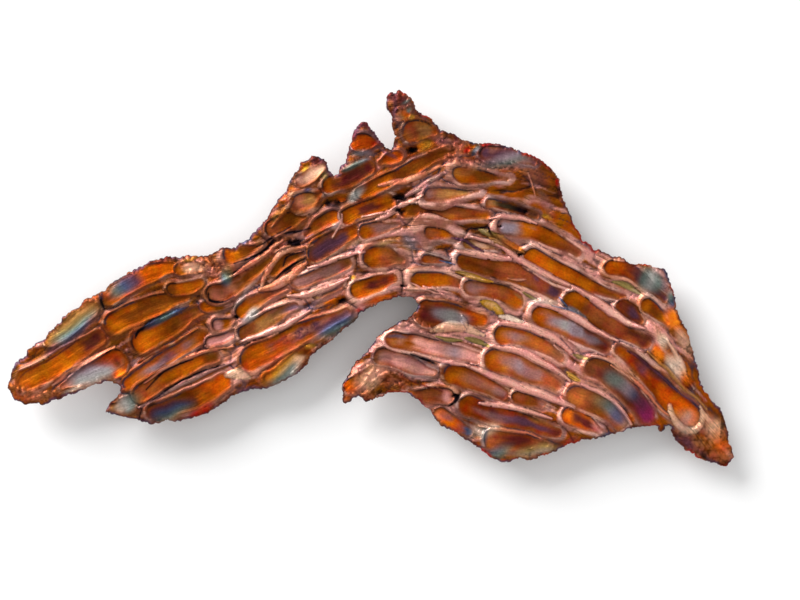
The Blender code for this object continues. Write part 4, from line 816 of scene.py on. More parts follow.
def lobe_colour(names, x, y, outside, share, half, rim, upper, soft, grain, ribbon):
    """The floor, the rim round it, and the dark line of painted shade between the two."""
    floor = floor_colour(names, x, y, outside, share, half, grain, ribbon)
    bare = rim_colour(COLOUR[names[3]], x, y, outside / rim, grain, ribbon)
    colour = blend(floor, bare, smoothstep(-0.15 - 1.3 * soft, 0.25 + 0.8 * soft, outside))
    # painted shade: a thin dark line where the floor meets the rim, fainter where the floor runs softly
    # into it
    line = np.exp(-(((outside + 0.05) / 0.24) ** 2)) * (1 - 0.8 * soft)
    # it is strongest on the upper side, where the rim's inner wall faces away from the light
    line *= smoothstep(-0.5, 0.5, wobble(x, y, 3, 36) + 0.6 * np.clip(upper, -1, 1))
    return blend(colour, shade_line_tone(x, y), 0.97 * line)


print("tones of the first lobe's floor and rim:", LOBES[0][4])

# %% [markdown]
# ## The whole face
# The places are first nudged by a gentle random field, so that no lobe keeps a machine-made outline.
# Every place belongs to the topmost lobe that covers it, or else to the nearest one, and where the
# nearest two are equally far there is a seam. Far from any lobe the copper is a bundle of strands.
# After the lobes come the strands, the crumbs, the stains and the holes, which have the next cell.

# %% Lay the lobes on the sheet
# the seam's depth and half width, and how strongly its groove is darkened as painted shade
SEAM_DEPTH, SEAM_HALF_WIDTH, SEAM_SHADE_STRENGTH = 0.4, 0.3, 0.85
FLOOR_ROUGH, RIM_ROUGH, STRAND_ROUGH, UNDER_ROUGH = 0.48, 0.46, 0.43, 0.5
CONTRAST, CONTRAST_GAIN = 1.2, 1.07
FAR_FROM_LOBES = 9.0
STREAK_SHIFT = 7.0


def nudge(x, y):
    """Small smooth shifts of a place, in millimetres."""
    return (x + 0.8 * wobble(x, y, 9, 21) + 0.2 * wobble(x, y, 3.2, 23),
            y + 0.8 * wobble(x, y, 9, 22) + 0.2 * wobble(x, y, 3.2, 24))


def nearest_lobes(x, y):
    """For each lobe the places near it and its measures there, and how near the nearest two rims are."""
    found = []
    nearest, second = np.full(len(x), FAR_FROM_LOBES), np.full(len(x), FAR_FROM_LOBES)
    owner = np.full(len(x), -1)
    for number, line in enumerate(LOBE_LINES):
        some = close_to(line, x, y, max(LOBES[number][1:3]) + LOBES[number][3] + 5)
        outside, share, half, rim, upper = lobe_places(number, x[some], y[some])
        beyond = outside - rim
        closer = beyond < nearest[some]
        second[some] = np.where(closer, nearest[some], np.minimum(second[some], beyond))
        nearest[some] = np.where(closer, beyond, nearest[some])
        owner[some[closer]] = number
        found.append((some, outside, share, half, rim, upper))
    return found, nearest, second, owner


def strands_ground(x, y):
    """Height and colour of the bundles of strands between the lobes, with painted shade in the low grooves.
    """
    thick, thin = combed(x, y, 1.6, 16, 61), combed(x, y, 0.7, 7, 62)
    z = GROUND_LEVEL + 0.5 * np.minimum(np.abs(thick), 1) ** 0.8 + 0.1 * thin
    pink = smoothstep(-0.5, 0.6, combed(x, y, 1.9, 18, 42) + 0.4 * thin + 1.7 * bareness(x, y) - 1.1)
    brown = blend(COLOUR["brown"], COLOUR["amber"] * 0.8, smoothstep(-0.6, 0.8, combed(x, y, 2.2, 16, 43)))
    colour = blend(brown, blend(COLOUR["salmon"], COLOUR["mauve"], 0.35), pink)
    # where the strands are lowest, in the grooves between them, the colour is darkened as painted shade
    return z, blend(blend(shade_line_tone(x, y), colour, 0.3), colour, smoothstep(0.0, 0.3, np.abs(thick)))


def by_the_seam(distance):
    """1 on a seam, and nearly 0 two half widths from it."""
    return np.exp(-((distance / SEAM_HALF_WIDTH) ** 2))


def face(x, y):
    """Height, colour, roughness and streak place of the face, before the sheet's own swell."""
    x, y = nudge(x, y)
    z, colour = strands_ground(x, y)
    grain, ribbon = combed(x, y, 0.8, 8, 63), combed(x, y, 2.0, 18, 64)
    rough, streak = np.full(len(x), RIM_ROUGH), np.zeros((len(x), 3))
    found, nearest, second, owner = nearest_lobes(x, y)
    seam = (second - nearest) / 2
    darkness = smoothstep(-0.5, 0.7, wobble(x, y, 4.5, 38))
    for number, (some, outside, share, half, rim, upper) in enumerate(found):
        px, py, line = x[some], y[some], shade_line_tone(x[some], y[some])
        soft = softness(px, py, share, half, upper)
        own = lobe_colour(LOBES[number][4].split(), px, py, outside, share, half, rim, upper, soft,
                          grain[some], ribbon[some])
        height = lobe_height(outside, share, half, rim, soft) + 0.05 * grain[some]
        beyond = outside - rim
        # the slope beyond the rim, only on ground that no lobe covers
        open_ground = (owner[some] == number) & (beyond >= 0)
        fade = smoothstep(0.3, 1.3, beyond + 0.4 * wobble(px, py, 3, 39))
        # painted shade: the seam between two rims is grooved and darkened
        gap = by_the_seam(seam[some]) * darkness[some]
        slope_z = height * (1 - fade) + z[some] * fade - SEAM_DEPTH * gap
        slope_colour = blend(blend(own, colour[some], fade), line, SEAM_SHADE_STRENGTH * gap)
        # the lobe itself, over whatever was there, and a thin dark line of painted shade beside it
        on = beyond < 0
        beside = by_the_seam(np.maximum(beyond, 0)) * darkness[some] * (nearest[some] < 0)
        below_z = np.where(open_ground, slope_z, z[some] - SEAM_DEPTH * beside)
        below = np.where(open_ground[:, None], slope_colour, blend(colour[some], line, SEAM_SHADE_STRENGTH * beside))
        z[some] = np.where(on, height, below_z)
        colour[some] = np.where(on[:, None], own, below)
        mine = on | open_ground
        rough[some] = np.where(mine, np.where(outside < 0, FLOOR_ROUGH, RIM_ROUGH), rough[some])
        # a lobe's streaks lie along it, each lobe's in a noise of its own
        shift = np.full(len(some), STREAK_SHIFT * number)
        place = np.column_stack([share * LOBE_LENGTHS[number], upper, shift])
        streak[some[mine]] = place[mine]
    add_details(x, y, z, colour, rough, grain)
    # the thinner films of the lower right and of the left tip are brighter
    films = 1 + 0.2 * smoothstep(10, 80, x - 0.8 * y) + 0.08 * smoothstep(-85, -105, x)
    gain = CONTRAST_GAIN * films[:, None]
    return z, gain * np.clip(colour, 0.002, 1) ** CONTRAST, rough, streak


# %% [markdown]
# ## Details over the lobes
# These are laid over the finished lobes, in the order in which they would be touched up by hand:
# strands first, then crumbs, which roughen what is there, then the stains of colour and the few painted
# highlights, and the holes last.
# Each changes the heights and colours that it is given, so nothing has to be handed back.

# %% Strands, crumbs, stains, painted highlights and holes
def crumbs_at(x, y):
    """How crumbly the sheet is at each place."""
    level = np.zeros(len(x))
    for points, reach, strength in CRUMBS:
        line = np.array(points, float)
        some = close_to(line, x, y, reach * 1.5)
        far, _, _ = measure(line, x[some], y[some])
        level[some] = np.maximum(level[some], strength * (1 - smoothstep(0.5 * reach, 1.4 * reach, far)))
    return level


def tapered(width, share):
    """A strand's half width along it: it comes to a point at both ends."""
    return width * (0.35 + 0.65 * np.sin(math.pi * np.clip(share, 0.03, 0.97)))


def add_strands(x, y, z, colour, rough, grain):
    """Round threads over what is there, with painted shade: darker sides, a paler top, and a dark line on
    both sides.
    """
    for points, width, height, tone in STRANDS:
        line = smooth_line(points)
        some = close_to(line, x, y, width + 0.6)
        far, share, _ = measure(line, x[some], y[some])
        taper = tapered(width, share) * (1 + 0.12 * grain[some])
        strand = (height + 0.2) * np.sqrt(np.clip(1 - (far / taper) ** 2, 0, 1)) - 0.2
        on = far < taper
        z[some] = np.where(on, np.maximum(z[some], strand), z[some])
        cream = (0.25 if height > 0 else 0) * smoothstep(0, 1, grain[some])
        pale = blend(COLOUR[tone], COLOUR["cream"], cream)
        # painted shade: the thread darkens towards its sides, so that it looks round and lit along the top
        hue = blend(pale, COLOUR[tone] * 0.6, smoothstep(0.4, 1.0, far / taper))
        # painted shade at the thread's foot: a dark line on both sides
        off = 0.3 + 0.7 * smoothstep(0, 0.4, far - taper)
        beside = blend(shade_line_tone(x[some], y[some]), colour[some], off)
        colour[some] = np.where(on[:, None], hue, beside)
        rough[some] = np.where(on, STRAND_ROUGH, rough[some])


def add_stains_and_highlights(x, y, colour):
    """Clouds of colour, some of them painted highlights, each with its tones in a row. Part of the light
    and dark below shows through.
    """
    for sx, sy, length, width, turn, tones, strength in STAINS_AND_HIGHLIGHTS:
        c, s = math.cos(math.radians(turn)), math.sin(math.radians(turn))
        u, v = (x - sx) * c + (y - sy) * s, (y - sy) * c - (x - sx) * s
        some = np.flatnonzero(np.hypot(u / length, v / width) < 2.2)
        px, py, below = x[some], y[some], colour[some]
        light = np.clip(below.mean(1) / 0.17, 0.5, 1.15)[:, None] ** 0.5
        u, v = u[some] + 0.8 * wobble(px, py, 5, 53), v[some] + 0.6 * wobble(px, py, 5, 54)
        row = np.array([COLOUR[name] for name in tones.split()])
        place = np.clip(u / length / 2 + 0.5, 0, 1) * (len(row) - 1)
        hue = np.column_stack([np.interp(place, np.arange(len(row)), row[:, i]) for i in range(3)])
        patch_fade = 1 - smoothstep(0.35, 1.25, np.hypot(u / length, v / width))
        colour[some] = blend(below, hue * light, strength * patch_fade)


def add_crumbs(x, y, z, colour):
    """Grit that is maroon in its hollows and coral on its grains."""
    crumbly = crumbs_at(x, y)
    grit = 0.7 * np.abs(wobble(x, y, 1.3, 51)) + 0.6 * np.abs(wobble(x, y, 0.7, 52))
    z += crumbly * (0.9 * grit - 0.35)
    grit_colour = blend(COLOUR["maroon"] * 0.6, COLOUR["coral"], smoothstep(0.15, 0.6, grit))
    colour[:] = blend(colour, grit_colour, crumbly * 0.7)


def add_holes(x, y, z, colour):
    """Pits with a ragged outline, darkened inside as painted shade."""
    for (hx, hy), radius, depth in HOLES:
        ragged = 0.5 * radius * wobble(x, y, 1.2, 55)
        deep = np.exp(-(((x - hx) / 1.3 + ragged) ** 2 + (1.4 * (y - hy) + ragged) ** 2) / radius**2)
        z -= depth * deep
        # painted shade: the deepest part of each pit is nearly black
        colour[:] = blend(colour, COLOUR["dark"] * 0.6, smoothstep(0.25, 0.6, deep))


def add_details(x, y, z, colour, rough, grain):
    """Strands, crumbs, stains, painted highlights and holes over the lobes."""
    add_strands(x, y, z, colour, rough, grain)
    add_crumbs(x, y, z, colour)
    add_stains_and_highlights(x, y, colour)
    add_holes(x, y, z, colour)


print("heights at two places:", face(np.array([-60.0, 20.0]), np.array([-20.0, 0.0]))[0].round(2))

# %% [markdown]
# ## The sheet's own shape
# The sheet isn't flat: it swells a little, thins towards its edge, and turns down at the lip. Below,
# it has lumps, and it rests on three of them, whose ends are worn flat at the height of the table.
# Each swell and lump is a round hill, with its place, how far it reaches and how high or deep it goes.

# %% Swell, thickness and feet
SWELLS = [
    ((-100, -28), 34, 1.8), ((-48, -6), 30, -1.0), ((-2, 26), 30, 0.6), ((42, 20), 28, 1.4),
    ((60, -26), 32, -0.4), ((98, -20), 12, 2.2), ((119, -58), 16, -2.6), ((-8, -36), 18, 1.4),
    ((10, 60), 14, 1.4), ((-86, -44), 12, 1.2),
]
LUMPS = [
    ((-47, -13), 10.5, 8.35), ((54, -27), 11.0, 8.35), ((14, 27), 10.5, 8.35),
    ((-82, -24), 12, 2.4), ((-104, -30), 9, 1.2), ((-20, 4), 12, 2.4), ((-66, -36), 9, 1.4),
    ((46, 14), 12, 2.2), ((84, -14), 12, 2.6), ((26, -32), 12, 2.0), ((104, -42), 9, 1.6),
    ((60, -48), 8, 1.4), ((14, 50), 6, 1.2), ((-22, -20), 8, 1.4),
]
MID_HEIGHT = 11.35
EDGE_THICKNESS, BODY_THICKNESS, THICKENING_REACH = 2.0, 5.6, 6.5
GROUND_DEPTH = 0.6
LIP_DROP, LIP_REACH, BEAD_HEIGHT = 0.7, 2.2, 0.5
FURROW_DEPTH = 0.45


def hill(x, y, place, reach):
    """A round hill, 1 high at its place."""
    return np.exp(-(((x - place[0]) ** 2 + (y - place[1]) ** 2) / reach**2))


def swell(x, y):
    """The height of the sheet's own gentle waves."""
    z = np.full(len(x), MID_HEIGHT)
    for place, reach, height in SWELLS:
        z += height * hill(x, y, place, reach)
    return z


def top_height(x, y, depth, relief):
    """The face: relief that calms down towards a lip, which turns down a little and is beaded."""
    calm = 0.4 + 0.6 * smoothstep(0, 1.8, depth)
    drop = LIP_DROP * (1 - smoothstep(0, LIP_REACH, depth))
    beads = BEAD_HEIGHT * np.abs(wobble(x, y, 1.2, 61)) * (1 - smoothstep(0.8, 1.8, depth))
    return swell(x, y) + relief * calm - drop + beads


def under_height(x, y, depth):
    """The underside: lumps and furrows below an even thickness, flat where they would pass the table."""
    growth = 1 - np.exp(-depth / THICKENING_REACH)
    z = swell(x, y) - GROUND_DEPTH - EDGE_THICKNESS - (BODY_THICKNESS - EDGE_THICKNESS) * growth
    inside = smoothstep(0, 6, depth)
    waves = 0.42 * x + 0.9 * y + 1.3 * np.sin(0.13 * x)
    z += inside * FURROW_DEPTH * np.sin(waves) * np.cos(0.21 * x - 0.2 * y)
    pits = 0.35 * np.abs(wobble(x, y, 4.5, 71)) + 0.3 * np.abs(wobble(x, y, 2.2, 72))
    z += smoothstep(0, 2, depth) * pits
    for place, reach, deep in LUMPS:
        z -= inside * deep * hill(x, y, place, reach)
    return np.maximum(z, 0)


print("the sheet's middle height at its left tip:", swell(np.array([-118.0]), np.array([-35.0])).round(2))

# %% [markdown]
# ## Where the mesh has points
# An even grid would blur every rim and seam. So points are placed first along the strands, rims,
# creases and seams that show, each loop at its own distance round a lobe, and the space between is
# filled with an even field. A point that comes too close to an earlier one is left out.

# %% Loops round the lobes
LOOP_STEP = 0.45
STRAND_STEP = 0.4
SLOPE_STEP = 0.05


def loop_round(number, offset):
    """Points in even steps round a lobe's floor, this far outside its edge."""
    line = LOBE_LINES[number]
    share = np.linspace(0, 1, len(line))
    half = np.maximum(half_width(number, share) + offset * (1.15 - 0.55 * share), 0.2)
    along = np.gradient(line, axis=0)
    along /= np.linalg.norm(along, axis=1)[:, None]
    aside = np.column_stack([-along[:, 1], along[:, 0]])
    turn = np.linspace(math.pi / 2, 3 * math.pi / 2, 11)[1:-1, None]
    first = line[0] + half[0] * (np.cos(turn) * along[0] + np.sin(turn) * aside[0])
    last = line[-1] - half[-1] * (np.cos(turn) * along[-1] + np.sin(turn) * aside[-1])
    left, right = line + aside * half[:, None], line - aside * half[:, None]
    loop = np.vstack([left[::-1], first, right, last, left[-1:]])
    steps = lengths_along(loop)
    count = max(8, round(steps[-1] / LOOP_STEP))
    return points_at(np.linspace(0, steps[-1], count, endpoint=False), steps, loop)


def topmost(x, y):
    """The number of the topmost lobe over each place, or -1."""
    owner = np.full(len(x), -1)
    for number, line in enumerate(LOBE_LINES):
        some = close_to(line, x, y, max(LOBES[number][1:3]) + LOBES[number][3])
        outside, _, _, rim, _ = lobe_places(number, x[some], y[some])
        owner[some[outside < rim]] = number
    return owner


def settled(points, value):
    """The points moved onto the line where the value is zero, by two steps down its slope."""
    for _ in range(2):
        x, y = points.T
        now = value(x, y)
        rise = value(x + SLOPE_STEP, y) - now, value(x, y + SLOPE_STEP) - now
        slope = np.column_stack(rise) / SLOPE_STEP
        steep = np.maximum((slope**2).sum(1), 0.3)
        points = points - slope * np.clip(now / steep, -0.6, 0.6)[:, None]
    return points


def loops(of_rim, beyond=0.0):
    """One loop round each lobe, at a share of its rim's width and more, where no later lobe covers it."""
    found = []
    for number in range(len(LOBES)):
        def value(x, y):
            """How far a place is from where the loop should run."""
            outside, _, _, rim, _ = lobe_places(number, *nudge(x, y))
            return outside - of_rim * rim - beyond
        loop = settled(loop_round(number, of_rim * LOBES[number][3] + beyond), value)
        found.append(loop[topmost(*nudge(*loop.T)) <= number])
    return np.vstack(found)


def strand_points():
    """Points along the middle and both sides of each strand, moved back by the nudge."""
    found = []
    for points, width, _, _ in STRANDS:
        line = smooth_line(points)
        share = np.linspace(0, 1, round(lengths_along(line)[-1] / STRAND_STEP))
        line = points_at(share * (len(line) - 1), np.arange(len(line)), line)
        along = np.gradient(line, axis=0)
        aside = np.column_stack([-along[:, 1], along[:, 0]]) / np.linalg.norm(along, axis=1)[:, None]
        half = tapered(width, share)[:, None]
        found += [line, line + aside * half * 0.9, line - aside * half * 0.9]
        found += [line + aside * (half + 0.25), line - aside * (half + 0.25)]
    points = np.vstack(found)
    return 2 * points - np.column_stack(nudge(*points.T))


on_strands = strand_points()
print("points along the strands:", len(on_strands))

# %% Place the points
def inside_edge(x, y):
    """Which places the edge goes round."""
    inside = np.zeros(len(x), bool)
    for a, b in zip(edge_line, np.roll(edge_line, -1, axis=0)):
        crosses = (a[1] > y) != (b[1] > y)
        where = a[0] + (y - a[1]) * (b[0] - a[0]) / (b[1] - a[1] + 1e-12)
        inside ^= crosses & (x < where)
    return inside


edge_tree = KDTree(len(edge_line))
for i, (x, y) in enumerate(edge_line):
    edge_tree.insert((x, y, 0), i)
edge_tree.balance()


def depth_inside(points):
    """How far each place lies in from the sheet's edge."""
    return np.array([edge_tree.find((x, y, 0))[2] for x, y in points])


def spread_out(margin, groups):
    """The points of each group in turn that keep the margin to the edge and their gap to those before."""
    cell = 0.7
    kept, grid = [], {}
    for points, gap in groups:
        points = points[inside_edge(*points.T)]
        points = points[depth_inside(points) > margin]
        for x, y in points:
            i, j = int(x // cell), int(y // cell)
            near = [p for a in (i - 1, i, i + 1) for b in (j - 1, j, j + 1) for p in grid.get((a, b), ())]
            if all((x - u) ** 2 + (y - v) ** 2 > gap * gap for u, v in near):
                grid.setdefault((i, j), []).append((x, y))
                kept.append((x, y))
    return np.array(kept)


def field(step):
    """A field of evenly spaced points over the sheet, each second row shifted by half a step."""
    low, high = edge_line.min(0), edge_line.max(0)
    rows = []
    for i, y in enumerate(np.arange(low[1], high[1], step * 0.866)):
        x = np.arange(low[0] + (i % 2) * step / 2, high[0], step)
        rows.append(np.column_stack([x, np.full(len(x), y)]))
    return np.vstack(rows)


def seam_points():
    """Points on the seams between the lobes."""
    def value(x, y):
        """How much farther the second nearest lobe is than the nearest."""
        _, nearest, second, _ = nearest_lobes(*nudge(x, y))
        return second - nearest
    points = field(0.3)
    points = points[inside_edge(*points.T)]
    _, nearest, second, _ = nearest_lobes(*nudge(*points.T))
    points = points[(nearest > 0) & (nearest < 3) & (second - nearest < 0.22)]
    return settled(points, value)


face_points = spread_out(0.3, [
    (on_strands, 0.24), (loops(1, -0.08), 0.32), (loops(1, 0.2), 0.24), (seam_points(), 0.32),
    (loops(0), 0.36), (loops(0.5), 0.38), (loops(0, -0.3), 0.36), (field(0.52), 0.4),
])
under_points = spread_out(0.6, [(field(1.5), 0.69)])
print("points on the face:", len(face_points), "and on the underside:", len(under_points))

# %% [markdown]
# ## From points to a closed sheet
# A Delaunay triangulation joins the points with well shaped triangles and keeps the edge as it is.
# The face and the underside each have their own copy of the edge, and a band with a round waist closes
# the gap between them. One closed shell is what a solid sheet of metal needs.

# %% Triangulate the face and the underside, and close the wall
WAIST_BULGE = 0.3
PLAN_MIDDLE = np.array([0.227, 0.486, 0])


def triangulated(points):
    """Points and triangles over the sheet's plan, the edge's own points first and in order."""
    ring = [(i, (i + 1) % len(edge_line)) for i in range(len(edge_line))]
    plan = [tuple(p) for p in np.vstack([edge_line, points])]
    places, _, faces, *_ = delaunay_2d_cdt(plan, ring, [], 1, 1e-6)
    return np.array([tuple(p) for p in places]), np.array([tuple(f) for f in faces])


def wall(rim, u, w):
    """The triangles from the face's edge over the waist, which starts at w, to the underside's, at u."""
    i = np.arange(rim)
    j = (i + 1) % rim
    bands = (i, j, w + j), (i, w + j, w + i), (w + i, w + j, u + j), (w + i, u + j, u + i)
    return np.vstack([np.column_stack(band) for band in bands])


def add_sheet():
    """The closed shell as an object, where its underside and waist begin, its depths and its paint."""
    top, top_faces = triangulated(face_points)
    under, under_faces = triangulated(under_points)
    depths = depth_inside(top), depth_inside(under)
    relief, *paint = face(*top.T)
    top_z = top_height(*top.T, depths[0], relief)
    under_z = under_height(*under.T, depths[1])
    waist = edge_line + outward(edge_line) * WAIST_BULGE
    waist_z = (top_z[:len(waist)] + under_z[:len(waist)]) / 2
    starts = len(top), len(top) + len(under)
    faces = np.vstack([top_faces, starts[0] + under_faces[:, ::-1], wall(len(waist), *starts)])
    levels = (top, top_z), (under, under_z), (waist, waist_z)
    points = np.vstack([np.column_stack(level) for level in levels])
    mesh = bpy.data.meshes.new("native_copper")
    mesh.from_pydata(((points - PLAN_MIDDLE) * MM).tolist(), [], faces.tolist())
    mesh.shade_smooth()
    piece = bpy.data.objects.new("native_copper", mesh)
    bpy.context.scene.collection.objects.link(piece)
    return piece, starts, depths, paint


sheet, starts, depths, (face_colour, face_rough, face_streak) = add_sheet()
print("triangles in the sheet:", len(sheet.data.polygons), "size:", tuple(sheet.dimensions))

# %% [markdown]
# ## Colours on the mesh
# The colour, roughness and streak places are stored on the mesh's points as attributes, which the
# material reads. The outermost millimetre took the most heat and is purple, dark red or blue. The
# underside was never polished by touch: it is duller and browner, with pink on what stands out.

# %% Tints of the edge and the underside
WAIST_SHADE = 0.85


def edge_tint(points, depth, colour):
    """The sheet's border in purple, maroon and blue, over the colours inside it."""
    x, y = points.T
    tint = blend(COLOUR["purple"], COLOUR["maroon"], smoothstep(-0.2, 0.2, wobble(x, y, 3.5, 81)))
    tint = blend(tint, COLOUR["blue"], 0.7 * smoothstep(0.35, 0.7, wobble(x, y, 5, 82)))
    tint = blend(tint, COLOUR["rust"], 0.8 * smoothstep(0.2, 0.6, wobble(x, y, 2.2, 83)))
    on_the_right = smoothstep(-20, 20, x)
    tint = blend(tint, COLOUR["red"] * 0.8, smoothstep(0.2, 0.5, wobble(x, y, 5, 86)) * on_the_right)
    tint = blend(tint * 0.6, tint, smoothstep(-0.4, 0.4, wobble(x, y, 0.9, 84)))
    reach = 0.6 + 0.8 * wobble(x, y, 4, 85)
    return blend(tint, colour, smoothstep(0.3, 1.2, (depth + 0.15) / np.maximum(reach, 0.15)))


def under_tint(points):
    """A dull brown underside with pinker high places."""
    x, y = points.T
    hills = wobble(x, y, 4.5, 71) + 0.6 * wobble(x, y, 2.2, 72)
    tint = blend(COLOUR["brown"], COLOUR["mauve"], smoothstep(-0.6, 0.5, -hills))
    return blend(tint, COLOUR["teal"] * 0.7, 0.35 * smoothstep(0.2, 0.7, wobble(x, y, 14, 91)))


plan = np.array([v.co[:2] for v in sheet.data.vertices]) / MM + PLAN_MIDDLE[:2]
top_plan, under_plan, waist_plan = np.split(plan, starts)
tint = np.vstack([
    edge_tint(top_plan, depths[0], face_colour),
    edge_tint(under_plan, depths[1], under_tint(under_plan)),
    edge_tint(waist_plan, np.zeros(len(waist_plan)), face_colour[:len(waist_plan)] * WAIST_SHADE),
])
print("mean tint:", tint.mean(0).round(3))

# %% Store the attributes
def store(piece, name, kind, key, values):
    """One value or vector a point, under a name that the material can read."""
    attribute = piece.data.attributes.new(name, kind, "POINT")
    attribute.data.foreach_set(key, np.asarray(values, dtype=np.float32).ravel())


rest_plan = np.vstack([under_plan, waist_plan])
rest_streak = np.column_stack([rest_plan, np.zeros(len(rest_plan))])
rough = np.concatenate([face_rough, np.full(len(rest_plan), UNDER_ROUGH)])
store(sheet, "tint", "FLOAT_COLOR", "color", np.column_stack([tint, np.ones(len(tint))]))
store(sheet, "satin", "FLOAT", "value", rough)
store(sheet, "streak", "FLOAT_VECTOR", "vector", np.vstack([face_streak, rest_streak]))
print("attributes:", [a.name for a in sheet.data.attributes if not a.name.startswith(".")])

# %% [markdown]
# ## The copper material
# Copper is a metal, so its colour is the colour of its reflections. The tint comes from the mesh.
# On top of it, noise drawn out along each lobe gives the fine streaks of the cooled surface, a finer
# noise freckles the tint, and both press small bumps into the metal. Clouds of a coarser noise turn the
# hue a little and make the gloss uneven. Dark hairlines, too thin for the mesh, run where a long
# drawn-out noise passes its middle value, in patches, and fade out on the floors, which the satin
# attribute tells from the rims and the strands.

# %% Helpers for nodes
def add_node(tree, kind, **settings):
    """A node with its settings. An in_ setting is an input's plain value, or the socket to link to it."""
    node = tree.nodes.new("ShaderNode" + kind)
    for name, value in settings.items():
        if not name.startswith("in_"):
            setattr(node, name, value)
            continue
        key = name[3:]
        socket = node.inputs[int(key) if key.isdigit() else key.replace("_", " ")]
        if isinstance(value, bpy.types.NodeSocket):
            tree.links.new(value, socket)
        else:
            socket.default_value = value
    return node


def stored(tree, name):
    """The node that reads an attribute of the mesh."""
    return add_node(tree, "Attribute", attribute_name=name)


def noise(tree, place, scale, detail, roughness, stretch=None):
    """Noise from 0 to 1, mostly near 0.5, at a place that may be stretched first."""
    if stretch:
        place = add_node(tree, "Mapping", in_Vector=place, in_Scale=stretch).outputs["Vector"]
    return add_node(tree, "TexNoise", in_Vector=place, in_Scale=scale, in_Detail=detail,
                    in_Roughness=roughness).outputs["Fac"]


def remap(tree, value, start, end):
    """A value moved from one range to another, and kept within it."""
    return add_node(tree, "MapRange", in_Value=value, in_From_Min=start[0], in_From_Max=start[1],
                    in_To_Min=end[0], in_To_Max=end[1]).outputs["Result"]


def maths(tree, operation, first, second=0.5):
    """The result of one sum with a value, and with another one where the operation needs it."""
    return add_node(tree, "Math", operation=operation, in_0=first, in_1=second).outputs["Value"]


MOST_NOISE = (0.3, 0.7)
print("nearly all noise lies in", MOST_NOISE)

# %% Build the material
HAIR_HALF_WIDTH = 0.022
RIMS_AND_FLOORS = (RIM_ROUGH + 0.002, FLOOR_ROUGH - 0.005)


def copper_material():
    """Metal with the mesh's tint, streaks, freckles, hairlines and uneven gloss."""
    material = bpy.data.materials.new("heat_coloured_copper")
    material.use_nodes = True
    tree = material.node_tree
    shader = tree.nodes["Principled BSDF"]
    tint, satin = stored(tree, "tint").outputs["Color"], stored(tree, "satin").outputs["Fac"]
    streak = stored(tree, "streak").outputs["Vector"]
    place = add_node(tree, "TexCoord").outputs["Object"]
    streaks = noise(tree, streak, 1.0, 4.0, 0.6, stretch=(0.22, 2.2, 1.0))
    freckles = noise(tree, place, 1400.0, 3.0, 0.6)
    clouds = noise(tree, place, 260.0, 4.0, 0.55)

    # hairlines, in patches and not on the floors
    wander = noise(tree, streak, 1.0, 3.0, 0.5, stretch=(0.09, 0.8, 1.0))
    away = maths(tree, "ABSOLUTE", maths(tree, "SUBTRACT", wander))
    hair = remap(tree, away, (0.0, HAIR_HALF_WIDTH), (1.0, 0.0))
    patches = remap(tree, clouds, (0.42, 0.58), (0.0, 1.0))
    off_floor = remap(tree, satin, RIMS_AND_FLOORS, (1.0, 0.15))
    hairlines = maths(tree, "MULTIPLY", hair, maths(tree, "MULTIPLY", patches, off_floor))

    # the tint, in light and shade
    light = remap(tree, streaks, MOST_NOISE, (0.88, 1.1))
    shade = remap(tree, freckles, MOST_NOISE, (0.8, 1.18))
    darker = remap(tree, hairlines, (0.0, 1.0), (1.0, 0.3))
    shading = maths(tree, "MULTIPLY", maths(tree, "MULTIPLY", light, shade), darker)
    shaded = add_node(tree, "VectorMath", operation="SCALE", in_0=tint, in_Scale=shading)
    hue = remap(tree, clouds, MOST_NOISE, (0.488, 0.512))
    turned = add_node(tree, "HueSaturation", in_Color=shaded.outputs["Vector"], in_Hue=hue)
    tree.links.new(turned.outputs["Color"], shader.inputs["Base Color"])

    uneven = remap(tree, clouds, MOST_NOISE, (-0.07, 0.09))
    tree.links.new(maths(tree, "ADD", satin, uneven), shader.inputs["Roughness"])
    shader.inputs["Metallic"].default_value = 1.0

    along = add_node(tree, "Bump", in_Strength=0.4, in_Distance=0.0003, in_Height=streaks)
    fine = add_node(tree, "Bump", in_Strength=0.35, in_Distance=0.00018, in_Height=freckles,
                    in_Normal=along.outputs["Normal"])
    tree.links.new(fine.outputs["Normal"], shader.inputs["Normal"])
    return material


sheet.data.materials.append(copper_material())
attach(sheet, "root")
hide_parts("copper_sheet")
print("the sheet replaces the plain solid")

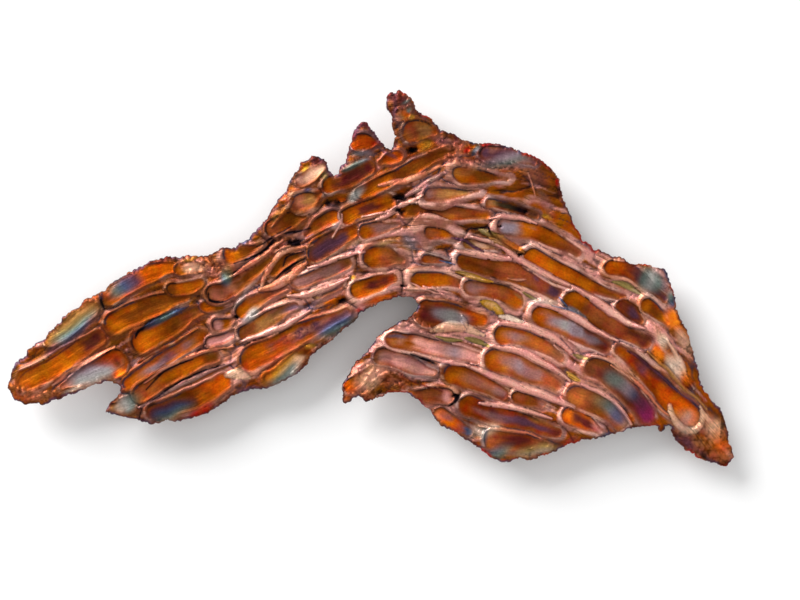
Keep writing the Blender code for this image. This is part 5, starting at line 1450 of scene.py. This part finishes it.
# %% [markdown]
# ## Table, light and camera
# The photograph has a white ground with one soft shadow to the lower right. A large plane takes
# that part. A broad light at the upper left gives the shadow, and an even, pale surrounding light
# keeps it soft. Metal needs something to reflect, so the surrounding light does as much as the lamp.

# %% Table
TABLE_SIZE, PAPER_WHITE, PAPER_ROUGH = 3.0, (0.93, 0.93, 0.93, 1), 0.9
bpy.ops.object.select_all(action="DESELECT")
bpy.ops.mesh.primitive_plane_add(size=TABLE_SIZE, location=(0, 0, 0))
table = bpy.context.object
table.name = "table"
paper = bpy.data.materials.new("white_ground")
paper.use_nodes = True
surface = paper.node_tree.nodes["Principled BSDF"]
surface.inputs["Base Color"].default_value = PAPER_WHITE
surface.inputs["Roughness"].default_value = PAPER_ROUGH
table.data.materials.append(paper)
print("table:", tuple(table.dimensions))

# %% Lights
LAMP_PLACE, LAMP_SIZE, LAMP_WATTS = (-1.75, 1.95, 1.45), (2.0, 1.6), 108.0
SURROUNDING_LIGHT = 0.71
lamp = bpy.data.lights.new("window", "AREA")
lamp.shape = "RECTANGLE"
(lamp.size, lamp.size_y), lamp.energy = LAMP_SIZE, LAMP_WATTS
holder = bpy.data.objects.new("window", lamp)
bpy.context.scene.collection.objects.link(holder)
holder.location = LAMP_PLACE
holder.rotation_euler = (-holder.location).to_track_quat("-Z", "Y").to_euler()
world = bpy.data.worlds.new("studio")
world.use_nodes = True
background = world.node_tree.nodes["Background"]
background.inputs["Color"].default_value = (1, 1, 1, 1)
background.inputs["Strength"].default_value = SURROUNDING_LIGHT
bpy.context.scene.world = world

# %% Camera
VIEW_CENTRE = (9.773 * MM, -7.153 * MM, 10 * MM)
VIEW_WIDTH = 800 / 3 * MM
LENS, SENSOR = 85, 36
camera = bpy.data.cameras.new("camera")
camera.lens, camera.sensor_width = LENS, SENSOR
distance = VIEW_WIDTH / 2 / (SENSOR / 2 / LENS)
eye = bpy.data.objects.new("camera", camera)
eye.location = (VIEW_CENTRE[0], VIEW_CENTRE[1], VIEW_CENTRE[2] + distance)
bpy.context.scene.collection.objects.link(eye)
bpy.context.scene.camera = eye
bpy.context.scene.view_settings.view_transform = "Standard"
print("the camera hangs", round(distance, 3), "m above the sheet")
